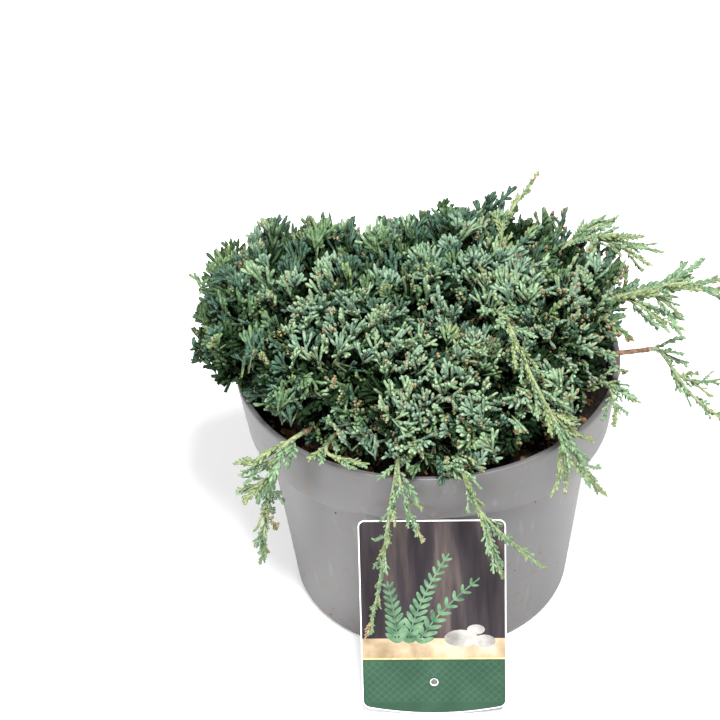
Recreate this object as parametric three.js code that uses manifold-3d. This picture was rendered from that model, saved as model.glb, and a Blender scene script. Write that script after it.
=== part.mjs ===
// A creeping juniper in its nursery pot, in millimetres, +Z up.
// The origin is the middle of the pot's flat underside, and -Y is the side with the plant tag.
// The plant is a short leaning trunk, boughs that spread from it, a dense mound of foliage masses
// and the long shoots that trail over the rim. Each is a closed solid of its own.
import * as THREE from "three";
import { mergeVertices } from "three/addons/utils/BufferGeometryUtils.js";
import Module from "manifold-3d";

const wasm = await Module();
wasm.setup();

// Pot
const potHeight = 170;
const potBaseRadius = 88;
const potFootRound = 4;
const wallThickness = 2.5;
const collarBottom = 130;
const collarBelly = 148;
const wallTopRadius = 104;
const collarBottomRadius = 114.5;
const rimRadius = 120;
const rimRound = 0.8;
const lipWidth = 3.5;
const potSides = 36;
const drainHoles = 6;
const drainHoleRadius = 5;
const drainHoleRing = 62;
const collarDent = 5;
const collarDentWidth = 26;

// Soil
const soilLevel = 150;
const soilBedRadius = 24;
const soilUnevenness = 3;
const soilSides = 24;

// Plant tag
const tagWidth = 89;
const tagHeight = 127.5;
const tagSag = 5;
const tagThickness = 0.7;
const tagCorner = 4;
const tagHoleRadius = 2.2;
const tagHoleUp = 17;
const tagTop = new THREE.Vector3(-3, -109, collarBottom - 0.7);
const tagFootY = -144;
const tagFootZ = 1;
const tagTurn = 3;

// Clearances: between touching pieces, round each limb, between masses and round the pot
const seatGap = 0.3;
const limbMargin = 0.5;
const spaceMargin = 0.5;
const potMargin = 1.5;
const rimClearance = 4;

// Trunk
const trunkFoot = new THREE.Vector3(-3, 3, soilLevel + seatGap);
const trunkRise = 8;
const trunkTip = new THREE.Vector3(3, 1, 189);
const trunkRadius = 8.5;
const trunkTipRadius = 6;
const trunkFlare = 6;
const trunkFlareHeight = 4.5;
const trunkSides = 9;
const trunkSteps = 6;

// Boughs
const boughSides = 5;
const boughSteps = 3;
const branchRadii = [2.2, 1.5];
const branchLift = -8;
const branchLiftBelow = 190;

// Mound: reach of its outline from the pot's axis every 30 degrees, anticlockwise from the right,
// and the share by which its edge is tucked in there below the two tilts
const moundReach = [132, 132, 122, 100, 94, 150, 151, 142, 124, 126, 121, 124];
const moundTuck = [0.12, 0.04, 0, 0, 0, 0.02, 0.06, 0.26, 0.14, 0, 0.02, 0.08];
const tuckTilts = [1.05, 1.5];
const moundBase = 177;
const moundRise = 64;
const moundDrop = 40;
const moundRoundness = 2.6;
const moundSideBulge = 0.8;
const moundTopBulge = 0.75;
const crownHeart = 0.72;

// Rings of masses: degrees of the first, tilt from upright, shares of the mound's size at the heart
// and at the bough's end, shares of the trunk where the boughs leave, radii and arch of the boughs
const skirt = {
  kind: "skirt",
  count: 9,
  first: 20,
  tilt: 1.22,
  heart: 0.74,
  boughEnd: 0.46,
  lowestWhorl: 0.28,
  whorlSpread: 0.3,
  radii: [3.1, 2],
  lift: -6,
};
const shoulder = {
  kind: "shoulder",
  count: 5,
  first: 50,
  tilt: 0.52,
  heart: 0.7,
  boughEnd: 0.4,
  lowestWhorl: 0.78,
  whorlSpread: 0,
  radii: [2.6, 1.9],
  lift: -3,
};

// Tips of the mound's sprays
const surfaceTips = 238;
const lastTilt = 1.78;
const tipSpread = 0.72;
const tipJitter = 6;
const tipLift = 0.55;
const firstTipAngle = 0.4;

// Foliage of the mound
const sprayReach = 26;
const sprayWidth = 0.42;
const sprayThickness = 0.08;
const sprayMiddle = 0.35;
const sprayTurns = [0, 0.6, -0.6, 1.2, -1.2, 1.57];
const sprayLengths = [1, 0.86, 0.72];
const spraySpin = 2.4;
const fullSprayShare = 0.4;
const tipsOnTwig = 4;
const sprayStep = 0.14;
const stemRadii = [1.9, 1.33];
const twigRadii = [1.2, 0.72];
const twigReaches = [1, 0.75, 0.5];
const coreDepth = 0.56;
const coreFloor = 184;
const coreRoughness = 0.22;
const coreHeartDepth = 0.35;
const seed = 20417;

// Foliage of the trailing shoots
const shootRadii = [1.4, 0.6];
const sideStemRadius = 1;
const shootStep = 18;
const shootSpacing = 13;
const shootReach = [21, 13];
const shootSprayWidth = 0.3;
const shootTipLength = 15;
const shootTipWidth = 0.22;

const barkBrown = 0x6b4a35;
const greens = [0x5d8a7c, 0x547f70, 0x66937f, 0x4c7668, 0x5f8c74];
const trailingGreen = 0x7fa070;

const up = new THREE.Vector3(0, 0, 1);
const fullTurn = Math.PI * 2;
const quarterTurn = Math.PI / 2;
const goldenAngle = Math.PI * (3 - Math.sqrt(5));
const radians = THREE.MathUtils.degToRad;
const lerp = THREE.MathUtils.lerp;
const v = (x, y, z) => new THREE.Vector3(x, y, z);
const plant = new THREE.Group();

// Park-Miller numbers from 0 to 1, the same on every run
function seeded(start) {
  let state = start;
  return () => {
    state = (state * 48271) % 2147483647;
    return state / 2147483647;
  };
}

function addPart(name, solid, color, roughness = 0.85) {
  const mesh = solid.getMesh();
  const geometry = new THREE.BufferGeometry();
  geometry.setAttribute("position", new THREE.BufferAttribute(mesh.vertProperties, 3));
  geometry.setIndex(new THREE.BufferAttribute(mesh.triVerts, 1));
  const material = new THREE.MeshStandardMaterial({ color, roughness, metalness: 0, flatShading: true });
  const part = new THREE.Mesh(geometry, material);
  part.name = name;
  plant.add(part);
}

// A closed three.js geometry as a solid, without the flat triangles at a pole
function solidFrom(geometry) {
  const bare = geometry.clone();
  bare.deleteAttribute("normal");
  bare.deleteAttribute("uv");
  const merged = mergeVertices(bare, 1e-4);
  const index = merged.index.array;
  const kept = [];
  for (let i = 0; i < index.length; i += 3) {
    const [a, b, c] = [index[i], index[i + 1], index[i + 2]];
    if (a !== b && b !== c && c !== a) kept.push(a, b, c);
  }
  return new wasm.Manifold(
    new wasm.Mesh({
      numProp: 3,
      vertProperties: merged.attributes.position.array,
      triVerts: new Uint32Array(kept),
    }),
  );
}

// The same for an indexed geometry whose faces may point inwards: then they are turned round
function outwardSolid(geometry) {
  const solid = solidFrom(geometry);
  if (solid.volume() > 0) return solid;
  const index = geometry.index.array;
  for (let i = 0; i < index.length; i += 3) [index[i + 1], index[i + 2]] = [index[i + 2], index[i + 1]];
  return solidFrom(geometry);
}

// The largest body of a joined solid: loose scraps and the shells of sealed hollows are left out
function largestBody(solid) {
  return solid.decompose().reduce((best, body) => (body.volume() > best.volume() ? body : best));
}

// A cylinder bent along a curve, with a radius that follows its length: trunk, bough, stem or twig
function limbSolid(curve, radiusAt, sides, steps) {
  const geometry = new THREE.CylinderGeometry(1, 1, 1, sides, steps);
  const frames = curve.computeFrenetFrames(steps);
  const place = geometry.attributes.position;
  for (let i = 0; i < place.count; i += 1) {
    const share = place.getY(i) + 0.5;
    const step = Math.round(share * steps);
    const radius = radiusAt(share);
    const point = curve
      .getPointAt(share)
      .addScaledVector(frames.binormals[step], place.getX(i) * radius)
      .addScaledVector(frames.normals[step], place.getZ(i) * radius);
    place.setXYZ(i, point.x, point.y, point.z);
  }
  return solidFrom(geometry);
}

function taper(rootRadius, tipRadius) {
  return (share) => lerp(rootRadius, tipRadius, share);
}

// A profile of radius and height, turned round the pot's axis
function latheOf(profile, sides) {
  const points = profile.map(([radius, height]) => new THREE.Vector2(radius, height));
  return new THREE.LatheGeometry(points, sides).rotateX(quarterTurn);
}

// Pot: one wall with a stepped-out collar and a flat floor with drain holes
const innerStep = collarBottom + wallThickness;
const innerStepRadius = collarBottomRadius - wallThickness;
const innerWallTop = wallTopRadius - wallThickness;
const innerBaseRadius = potBaseRadius - wallThickness;
const lipInnerRadius = rimRadius - lipWidth;

function outerRadiusAt(height) {
  const { mapLinear } = THREE.MathUtils;
  if (height < collarBottom) return mapLinear(height, 0, collarBottom, potBaseRadius, wallTopRadius);
  return mapLinear(height, collarBottom, potHeight, collarBottomRadius, rimRadius);
}

// How far the front of the collar is pressed in by the tag, most at its lower edge
function dentAt(angle, height) {
  const away = (THREE.MathUtils.radToDeg(angle) + 90) / collarDentWidth;
  const fadeTop = potHeight - lipWidth;
  const low = THREE.MathUtils.clamp((fadeTop - height) / (fadeTop - collarBottom), 0, 1);
  return collarDent * Math.exp(-away * away) * low * low;
}

function makePot() {
  const profile = [
    [0, 0],
    [potBaseRadius - potFootRound, 0],
    [potBaseRadius - potFootRound * 0.15, potFootRound * 0.4],
    [outerRadiusAt(potFootRound), potFootRound],
    [wallTopRadius, collarBottom],
    [collarBottomRadius, collarBottom],
    [outerRadiusAt(collarBelly), collarBelly],
    [rimRadius, potHeight - rimRound],
    [rimRadius - rimRound, potHeight],
    [lipInnerRadius, potHeight],
    [innerStepRadius + 2 * rimRound, collarBelly],
    [innerStepRadius, innerStep],
    [innerWallTop, innerStep],
    [innerBaseRadius, wallThickness],
    [0, wallThickness],
  ];
  const geometry = latheOf(profile, potSides);
  const place = geometry.attributes.position;
  for (let i = 0; i < place.count; i += 1) {
    const [x, y, z] = [place.getX(i), place.getY(i), place.getZ(i)];
    const radius = Math.hypot(x, y);
    if (z < collarBottom - wallThickness || radius < innerStepRadius - wallThickness) continue;
    const share = 1 - dentAt(Math.atan2(y, x), z) / radius;
    place.setXY(i, x * share, y * share);
  }
  let pot = outwardSolid(geometry);
  for (let hole = 0; hole < drainHoles; hole += 1) {
    const angle = ((hole + 0.5) * fullTurn) / drainHoles;
    const drill = new THREE.CylinderGeometry(drainHoleRadius, drainHoleRadius, 4 * wallThickness, 6);
    drill.rotateX(quarterTurn);
    drill.translate(drainHoleRing * Math.cos(angle), drainHoleRing * Math.sin(angle), 0);
    pot = pot.subtract(solidFrom(drill));
  }
  return pot;
}

// Soil: fills the pot to below the rim, uneven on top and flat where the trunk stands
function soilHeight(radius, angle) {
  const away = THREE.MathUtils.smoothstep(radius, soilBedRadius, soilBedRadius * 2);
  const waves = Math.sin(3 * angle + radius / 19) + Math.cos(5 * angle - radius / 13);
  return soilLevel + away * soilUnevenness * 0.5 * waves;
}

function makeSoil() {
  const wallGap = seatGap + 0.4;
  const edge = innerStepRadius + 1 - seatGap - collarDent;
  const profile = [
    [0, wallThickness + seatGap],
    [innerBaseRadius - wallGap, wallThickness + seatGap],
    [innerWallTop - wallGap, innerStep + seatGap],
    [edge - 1, innerStep + seatGap],
    [edge, soilLevel],
    [edge * 0.74, soilLevel],
    [edge * 0.48, soilLevel],
    [soilBedRadius, soilLevel],
    [0, soilLevel],
  ];
  const geometry = latheOf(profile, soilSides);
  const place = geometry.attributes.position;
  for (let i = 0; i < place.count; i += 1) {
    if (place.getZ(i) < soilLevel - 0.01) continue;
    const radius = Math.hypot(place.getX(i), place.getY(i));
    place.setZ(i, soilHeight(radius, Math.atan2(place.getY(i), place.getX(i))));
  }
  return outwardSolid(geometry);
}

// Tag: a thin card whose top edge is tucked under the collar and whose foot leans out to the floor
function makeTag() {
  const half = tagWidth / 2;
  const side = half - tagCorner;
  const card = new THREE.Shape();
  card.moveTo(-side, 0);
  card.lineTo(side, 0);
  card.absarc(side, -tagCorner, tagCorner, quarterTurn, 0, true);
  card.lineTo(half, tagCorner - tagHeight);
  card.absarc(side, tagCorner - tagHeight, tagCorner, 0, -quarterTurn, true);
  card.quadraticCurveTo(0, -tagHeight - 2 * tagSag, -side, -tagHeight);
  card.absarc(-side, tagCorner - tagHeight, tagCorner, -quarterTurn, -Math.PI, true);
  card.lineTo(-half, -tagCorner);
  card.absarc(-side, -tagCorner, tagCorner, Math.PI, quarterTurn, true);
  card.holes.push(new THREE.Path().absarc(0, tagHoleUp - tagHeight, tagHoleRadius, 0, fullTurn));
  const cut = { depth: tagThickness, bevelEnabled: false, curveSegments: 3 };
  const geometry = new THREE.ExtrudeGeometry(card, cut);
  const lean = Math.atan2(tagTop.y - tagFootY, tagTop.z - tagFootZ);
  geometry.rotateX(quarterTurn - lean).rotateZ(-radians(tagTurn));
  geometry.translate(tagTop.x, tagTop.y, tagTop.z);
  return solidFrom(geometry);
}

// The value at an angle, from values that stand evenly round the pot
function around(values, angle) {
  const count = values.length;
  const place = ((angle / fullTurn) * count + count * 4) % count;
  const first = Math.floor(place);
  const share = 0.5 - 0.5 * Math.cos((place - first) * Math.PI);
  return lerp(values[first], values[(first + 1) % count], share);
}

// The mound's outline: angle round the pot, and tilt from 0 at the crown to past a quarter turn
// under its edge
function moundPoint(angle, tilt, scale = 1) {
  const tuck = 1 - around(moundTuck, angle) * THREE.MathUtils.smoothstep(tilt, ...tuckTilts);
  const radius = around(moundReach, angle) * Math.pow(Math.sin(tilt), moundSideBulge) * tuck * scale;
  const fall = Math.cos(tilt);
  const rise = fall > 0 ? moundRise * Math.pow(fall, moundTopBulge) : moundDrop * fall;
  return v(radius * Math.cos(angle), radius * Math.sin(angle), moundBase + rise * scale);
}

// Below 1 inside the mound's outline, above 1 outside it
function moundDepth(point) {
  const reach = around(moundReach, Math.atan2(point.y, point.x));
  const radius = Math.hypot(point.x, point.y) / reach;
  const height = point.z - moundBase;
  const rise = height > 0 ? height / moundRise : height / moundDrop;
  return Math.pow(radius, moundRoundness) + Math.pow(Math.abs(rise), moundRoundness);
}

const limbs = new Map();
const guards = [];
const grown = [];

function boxed(solid, owner) {
  return { solid, owner, box: solid.boundingBox() };
}

function boxesMeet(one, other) {
  return [0, 1, 2].every((axis) => one.min[axis] <= other.max[axis] && other.min[axis] <= one.max[axis]);
}

// Whether a solid runs into any of the others, which are kept with their boxes
function touches(solid, others) {
  const box = solid.boundingBox();
  return others.some((other) => boxesMeet(box, other.box) && solid.intersect(other.solid).volume() > 1e-6);
}

// A limb is kept by its name, and a slightly thicker copy of it keeps leaves and twigs clear
function addLimb(name, curve, radiusAt, sides, steps, parent) {
  const swollen = (gap) => limbSolid(curve, (share) => radiusAt(share) + gap, sides, steps);
  let solid = swollen(0);
  if (parent) solid = largestBody(solid.subtract(parent.swollen(seatGap)));
  const limb = { name, curve, swollen };
  limbs.set(name, limb);
  guards.push(boxed(swollen(limbMargin), name));
  addPart(name, solid, barkBrown, 0.95);
  return limb;
}

// A bough leaves its parent at a share of the parent's length and arches to its end
function addBough(name, parent, share, end, lift, radii) {
  const start = parent.curve.getPointAt(share);
  const middle = start.clone().lerp(end, 0.5);
  middle.z += lift;
  const curve = new THREE.QuadraticBezierCurve3(start, middle, end);
  return addLimb(name, curve, taper(...radii), boughSides, boughSteps, parent);
}

// Where a mass starts, just past its bough's end, and which way the bough points there
function stemStart(bough) {
  const way = bough.curve.getTangentAt(1);
  return { way, point: bough.curve.getPointAt(1).addScaledVector(way, seatGap) };
}

const pot = makePot();
const tag = makeTag();
guards.push(boxed(pot, "pot"), boxed(tag, "tag"));
addPart("pot", pot, 0x6c6b70, 0.55);
addPart("soil", makeSoil(), 0x3a2a1e, 1);
addPart("plant_tag", tag, 0xe9ebe6, 0.5);

// Trunk, from its flat cut on the soil to the fork
const trunkBend = trunkFoot.clone().addScaledVector(up, trunkRise);
const trunkCurve = new THREE.CatmullRomCurve3([trunkFoot, trunkBend, trunkTip]);
const trunkRadiusAt = (share) => {
  const height = share * (trunkTip.z - trunkFoot.z);
  return lerp(trunkRadius, trunkTipRadius, share) + trunkFlare * Math.exp(-height / trunkFlareHeight);
};
const trunk = addLimb("trunk", trunkCurve, trunkRadiusAt, trunkSides, trunkSteps, null);

// The masses of the mound: a crown over the trunk, shoulders round it and a skirt at the edge
const mound = [{ name: "foliage_crown", heart: moundPoint(0, 0, crownHeart), bough: trunk }];

function addRing(ring) {
  for (let number = 0; number < ring.count; number += 1) {
    const angle = radians(ring.first + (number * 360) / ring.count);
    const whorl = ring.lowestWhorl + (ring.whorlSpread * ((number * 4) % ring.count)) / ring.count;
    const label = `${ring.kind}_${number + 1}`;
    const end = moundPoint(angle, ring.tilt, ring.boughEnd);
    const bough = addBough(`bough_${label}`, trunk, whorl, end, ring.lift, ring.radii);
    mound.push({ name: `foliage_${label}`, heart: moundPoint(angle, ring.tilt, ring.heart), bough });
  }
}
addRing(skirt);
addRing(shoulder);

// The stem of each mass runs on from its bough to the mass's heart
for (const mass of mound) {
  const { point, way } = stemStart(mass.bough);
  const bend = point.clone().addScaledVector(way, point.distanceTo(mass.heart) * 0.4);
  mass.tips = [];
  mass.stem = new THREE.QuadraticBezierCurve3(point, bend, mass.heart);
  mass.placed = [boxed(limbSolid(mass.stem, taper(...stemRadii), 4, 3), "stem")];
  const [root, tip] = stemRadii.map((radius) => radius + limbMargin);
  guards.push(boxed(limbSolid(mass.stem, taper(root, tip), 4, 3), mass.name));
}

// Trailing shoots: the limb and share of it that each bough leaves, the bough's end, the shoot's
// further points to its tip, and the tips of its side stems with the share where each leaves
const trailing = [
  {
    name: "right_low",
    from: ["bough_skirt_9", 0.55],
    end: v(138, -8, 174),
    points: [v(163, -22, 148), v(188, -48, 140)],
    side: [[0.25, v(184, -4, 145)]],
  },
  {
    name: "front_right",
    from: ["bough_shoulder_5", 0.6],
    end: v(33, -27, 219),
    points: [v(44, -62, 243), v(57, -90, 223), v(74, -105, 191), v(97, -111, 148)],
    side: [[0.66, v(76.5, -117, 158)], [0.6, v(92, -92, 174)]],
  },
  {
    name: "front_left",
    from: ["bough_skirt_7", 0.5],
    end: v(-19, -98, 179),
    points: [v(-23, -119, 179), v(-29, -129, 148), v(-35.5, -131, 101), v(-44, -134, 60)],
    side: [[0.1, v(-10, -131, 134)]],
  },
  {
    name: "front_middle",
    from: ["bough_skirt_8", 0.45],
    end: v(12, -98, 178),
    points: [v(15, -121, 178), v(25, -129, 152), v(62, -126, 103)],
    side: [[0.4, v(37, -133, 104)]],
  },
  {
    name: "left",
    from: ["bough_skirt_6", 0.5],
    end: v(-77, -82, 179),
    points: [v(-91, -97, 179), v(-100, -96, 140), v(-107, -92, 88)],
    side: [[0.2, v(-116, -92, 165)], [0.3, v(-117, -95, 147)]],
  },
  {
    name: "crown",
    from: ["bough_shoulder_1", 0.55],
    end: v(40, 24, 214),
    points: [v(52, 36, 246), v(71, 46, 270)],
    side: [],
  },
  {
    name: "right_back",
    from: ["bough_skirt_1", 0.6],
    end: v(78, 46, 204),
    points: [v(100, 60, 216), v(122, 69, 220)],
    side: [[0.2, v(147, 40, 213)], [0.3, v(139, 30, 212)]],
  },
  {
    name: "right_far",
    from: ["bough_skirt_1", 0.8],
    end: v(98, 10, 197),
    points: [v(132, 9, 206), v(162, 9, 211), v(182, 10, 199), v(196, 11, 190)],
    side: [[0.3, v(154, -6, 200)], [0.35, v(163, 23, 206)], [0.15, v(146, -17, 196)]],
  },
  {
    name: "front_rim",
    from: ["bough_skirt_7", 0.3],
    end: v(-56, -82, 178),
    points: [v(-64, -104, 181), v(-42, -118, 182)],
    side: [],
  },
  {
    name: "right_rim",
    from: ["bough_skirt_9", 0.35],
    end: v(90, -44, 178),
    points: [v(108, -54, 184), v(124, -60, 174)],
    side: [[0.35, v(109, -80, 174)]],
  },
  {
    name: "back_left",
    from: ["bough_skirt_4", 0.5],
    end: v(-62, 88, 178),
    points: [v(-78, 112, 182), v(-96, 130, 158), v(-106, 137, 132)],
    side: [],
  },
  {
    name: "back_right",
    from: ["bough_skirt_2", 0.5],
    end: v(38, 98, 178),
    points: [v(48, 120, 182), v(58, 134, 156), v(66, 138, 128)],
    side: [],
  },
];

// The bough of a trailing shoot and the curves of its stems: the main one, then its side stems
for (const shoot of trailing) {
  const [parentName, share] = shoot.from;
  const lift = shoot.end.z < branchLiftBelow ? branchLift : 0;
  const bough = addBough(`branch_${shoot.name}`, limbs.get(parentName), share, shoot.end, lift, branchRadii);
  const { point, way } = stemStart(bough);
  const lead = point.clone().addScaledVector(way, rimClearance);
  const main = new THREE.CatmullRomCurve3([point, lead, ...shoot.points]);
  const forks = shoot.side.map(([along, tip]) => {
    const fork = main.getPointAt(along);
    const bend = fork.clone().addScaledVector(main.getTangentAt(along), fork.distanceTo(tip) * 0.4);
    return new THREE.QuadraticBezierCurve3(fork, bend, tip);
  });
  shoot.name = `shoot_${shoot.name}`;
  shoot.curves = [main, ...forks];
  shoot.placed = shoot.curves.map((curve, order) => {
    const steps = Math.max(2, Math.round(curve.getLength() / shootStep));
    const [root, tip] = [order ? sideStemRadius : shootRadii[0], shootRadii[1]];
    guards.push(boxed(limbSolid(curve, taper(root + limbMargin, tip + limbMargin), 3, steps), shoot.name));
    return boxed(limbSolid(curve, taper(root, tip), 3, steps), "stem");
  });
}

function clearOfPot(point) {
  const radius = Math.hypot(point.x, point.y);
  if (point.z > potHeight + potMargin) return true;
  if (radius < innerStepRadius - collarDent) return point.z > soilLevel + 2 * soilUnevenness;
  return point.z > potMargin && radius > rimRadius + potMargin;
}

function clearOfTag(point) {
  if (Math.abs(point.x) > tagWidth / 2 + 2 * tagCorner || point.z > collarBottom) return true;
  const share = (tagTop.z - point.z) / (tagTop.z - tagFootZ);
  return point.y < lerp(tagTop.y, tagFootY, share) - tagCorner;
}

// Whether a point lies in the space of its mass: nearer to its heart than to any other
function inSpace(point, mass) {
  if (!clearOfPot(point) || !clearOfTag(point)) return false;
  if (!mass.heart) return true;
  const own = point.distanceTo(mass.heart) + 2 * spaceMargin;
  return mound.every((other) => other === mass || point.distanceTo(other.heart) > own);
}

// A piece is kept only in its mass's space, and clear of the limbs, of the masses that are grown
// and of all in its own mass but what it grows from and the core
function hasRoom(mass, solid, points, from) {
  if (!points.every((point) => inSpace(point, mass))) return false;
  if (touches(solid, grown)) return false;
  if (touches(solid, guards.filter(({ owner }) => owner !== mass.name))) return false;
  return !touches(solid, mass.placed.filter(({ owner }) => owner !== from && owner !== "core"));
}

// A spray of needles: a toothed blade, thickest in its middle, made from a two-row sphere
// Each tooth is a notch and a tip, as shares of the blade's length and half width
const threeTeeth = [[0.26, 0.14], [0.76, 0.8], [0.62, 0.26]];
const fiveTeeth = [[0.2, 0.12], [0.62, 0.95], [0.5, 0.36], [0.88, 0.58], [0.74, 0.2]];

function sprayIn(mass, from, root, tip, facing, teeth, width) {
  const along = tip.clone().sub(root);
  const length = along.length();
  const across = v(0, 0, 0).crossVectors(facing, along).normalize();
  const at = (share, side) => root.clone().addScaledVector(along, share).addScaledVector(across, side * length);
  const left = teeth.map(([share, side]) => at(share, side * width));
  const right = teeth.map(([share, side]) => at(share, -side * width)).reverse();
  const outline = [root, ...left, tip, ...right];
  const half = v(0, 0, 0).crossVectors(along, across).setLength(length * sprayThickness * 0.5);
  const top = at(sprayMiddle, 0).add(half);
  const bottom = at(sprayMiddle, 0).sub(half);
  const geometry = new THREE.SphereGeometry(1, outline.length, 2);
  const place = geometry.attributes.position;
  const row = outline.length + 1;
  for (let i = 0; i < place.count; i += 1) {
    const ring = Math.floor(i / row);
    const point = [top, outline[(i % row) % outline.length], bottom][ring];
    place.setXYZ(i, point.x, point.y, point.z);
  }
  const solid = outwardSolid(geometry);
  return hasRoom(mass, solid, [...outline.slice(1), top, bottom], from) ? solid : null;
}

// A spray is turned about its own line, and then shortened, until it finds room
function placeSpray(mass, from, root, tip, facing, teeth, width) {
  const way = tip.clone().sub(root).normalize();
  for (const share of sprayLengths) {
    const end = root.clone().lerp(tip, share);
    for (const turn of sprayTurns) {
      const turned = facing.clone().applyAxisAngle(way, turn);
      const solid = sprayIn(mass, from, root, end, turned, teeth, width);
      if (!solid) continue;
      mass.placed.push(boxed(solid, "spray"));
      return;
    }
  }
}

// Even tips over the mound, each with the root that its spray would have, dealt to the nearest mass
function dealTips(random) {
  const jitter = () => (random() - 0.5) * 2 * tipJitter;
  for (let i = 0; i < surfaceTips; i += 1) {
    const angle = (i * goldenAngle + firstTipAngle) % fullTurn;
    const tilt = lastTilt * Math.pow((i + 0.5) / surfaceTips, tipSpread);
    const point = moundPoint(angle, tilt).add(v(jitter(), jitter(), jitter()));
    const overRim = Math.hypot(point.x, point.y) < rimRadius + rimClearance;
    if (overRim) point.z = Math.max(point.z, potHeight + rimClearance);
    const level = Math.sin(tilt);
    const outward = v(Math.cos(angle) * level, Math.sin(angle) * level, Math.max(0, Math.cos(tilt)));
    const way = outward.clone().addScaledVector(up, tipLift).normalize();
    const base = point.clone().addScaledVector(way, -sprayReach);
    base.z = Math.max(base.z, potHeight + rimClearance);
    const away = (mass) => mass.heart.distanceTo(point);
    const nearest = mound.reduce((best, mass) => (away(mass) < away(best) ? mass : best));
    nearest.tips.push({ point, base, outward });
  }
}

// Tips that lie together share a twig: each group is a tip and its nearest neighbours
function groupTips(tips) {
  const left = [...tips];
  const groups = [];
  while (left.length) {
    const first = left[0].point;
    left.sort((a, b) => a.point.distanceTo(first) - b.point.distanceTo(first));
    groups.push(left.splice(0, tipsOnTwig));
  }
  return groups;
}

// The dense middle of a mass, smaller than the foliage that stands out of it: a rough ball whose
// points go out from the heart as far as the mass's space and a share of the mound allow
function coreSolid(mass, draw) {
  const ball = new THREE.IcosahedronGeometry(1, 1);
  const place = ball.attributes.position;
  const reaches = new Map();
  const room = (point) => point.z > coreFloor && moundDepth(point) < coreDepth && inSpace(point, mass);
  const reachOf = (way) => {
    let reach = 3;
    while (room(mass.heart.clone().addScaledVector(way, reach + 1))) reach += 1;
    return reach * (1 - coreRoughness * draw());
  };
  for (let i = 0; i < place.count; i += 1) {
    const way = v(0, 0, 0).fromBufferAttribute(place, i);
    const key = way.toArray().map((value) => value.toFixed(3)).join();
    if (!reaches.has(key)) reaches.set(key, reachOf(way));
    const point = way.multiplyScalar(reaches.get(key)).add(mass.heart);
    place.setXYZ(i, point.x, point.y, point.z);
  }
  const near = guards.filter((guard) => guard.owner !== mass.name);
  return largestBody(near.reduce((core, guard) => core.subtract(guard.solid), solidFrom(ball)));
}

// Well inside the dense middle of a mass, where a twig would not show
function inCore(point, mass) {
  return point.z > coreFloor + rimClearance && moundDepth(point) < coreHeartDepth && inSpace(point, mass);
}

// A spray with no twig of its own grows from inside the dense middle
function rootInCore(tip, mass) {
  const root = tip.base.clone();
  for (let step = 0; step < 12 && !inCore(root, mass); step += 1) root.lerp(mass.heart, 0.12);
  return root;
}

// A twig from the stem to a hub, which is drawn in towards the stem until the twig finds room
function placeTwig(mass, name, hub, start) {
  for (const share of [0.95 - 0.3 * start, 0.95, 0.6]) {
    const root = mass.stem.getPointAt(share);
    for (const reach of twigReaches) {
      const twig = new THREE.LineCurve3(root, root.clone().lerp(hub, reach));
      const solid = limbSolid(twig, taper(...twigRadii), 3, 1);
      if (!hasRoom(mass, solid, [twig.v2], "stem")) continue;
      mass.placed.push(boxed(solid, name));
      return twig;
    }
  }
  return null;
}

// A mass of the mound: twigs leave its stem for groups of tips that lie side by side, and each tip
// has one spray that grows from its twig
function growMass(mass, number) {
  const draw = seeded(seed + 101 * (number + 1));
  mass.placed.push(boxed(coreSolid(mass, draw), "core"));
  groupTips(mass.tips).forEach((group, twigNumber) => {
    const hub = v(0, 0, 0);
    group.forEach((tip) => hub.addScaledVector(tip.base, 1 / group.length));
    const twigName = `twig ${twigNumber}`;
    const start = draw();
    const twig = inCore(hub, mass) ? null : placeTwig(mass, twigName, hub, start);
    group.forEach((tip, order) => {
      const teeth = draw() < fullSprayShare ? fiveTeeth : threeTeeth;
      const spin = (draw() - 0.5) * spraySpin;
      const root = twig ? twig.getPointAt(1 - sprayStep * order) : rootInCore(tip, mass);
      const line = tip.point.clone().sub(root).normalize();
      const side = v(0, 0, 0).crossVectors(line, tip.outward).normalize();
      const facing = v(0, 0, 0).crossVectors(side, line).applyAxisAngle(line, spin);
      placeSpray(mass, twigName, root, tip.point, facing, teeth, sprayWidth);
    });
  });
}

// A trailing shoot: thin stems with flat side sprays set left and right, and a spray at each tip
function growShoot(shoot, number) {
  const draw = seeded(seed + 211 * (number + 1));
  shoot.curves.forEach((curve, order) => {
    const length = curve.getLength();
    const first = order ? 8 : 12;
    const count = Math.floor((length - first) / shootSpacing);
    for (let i = 0; i < count; i += 1) {
      const share = (first + i * shootSpacing) / length;
      const root = curve.getPointAt(share);
      const along = curve.getTangentAt(share);
      const level = v(0, 0, 0).crossVectors(along, up).normalize();
      const reach = lerp(...shootReach, share) * (0.85 + 0.3 * draw());
      const hand = i % 2 ? 1 : -1;
      const way = along.clone().addScaledVector(level, hand * (0.7 + 0.3 * draw()));
      way.addScaledVector(up, 0.1 + 0.25 * draw()).normalize();
      const facing = v(0, 0, 0).crossVectors(way, level).normalize();
      const tip = root.clone().addScaledVector(way, reach);
      placeSpray(shoot, "stem", root, tip, facing, threeTeeth, shootSprayWidth);
    }
    const end = curve.getPointAt(1);
    const along = curve.getTangentAt(1);
    const level = v(0, 0, 0).crossVectors(along, up).normalize();
    const facing = v(0, 0, 0).crossVectors(level, along).normalize();
    const root = end.clone().addScaledVector(along, -shootTipLength);
    placeSpray(shoot, "stem", root, end.addScaledVector(along, 2), facing, threeTeeth, shootTipWidth);
  });
}

function addMass(mass, color) {
  const joined = mass.placed.map((piece) => piece.solid).reduce((whole, solid) => whole.add(solid));
  const solid = largestBody(joined);
  grown.push(boxed(solid, mass.name));
  addPart(mass.name, solid, color);
}

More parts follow.
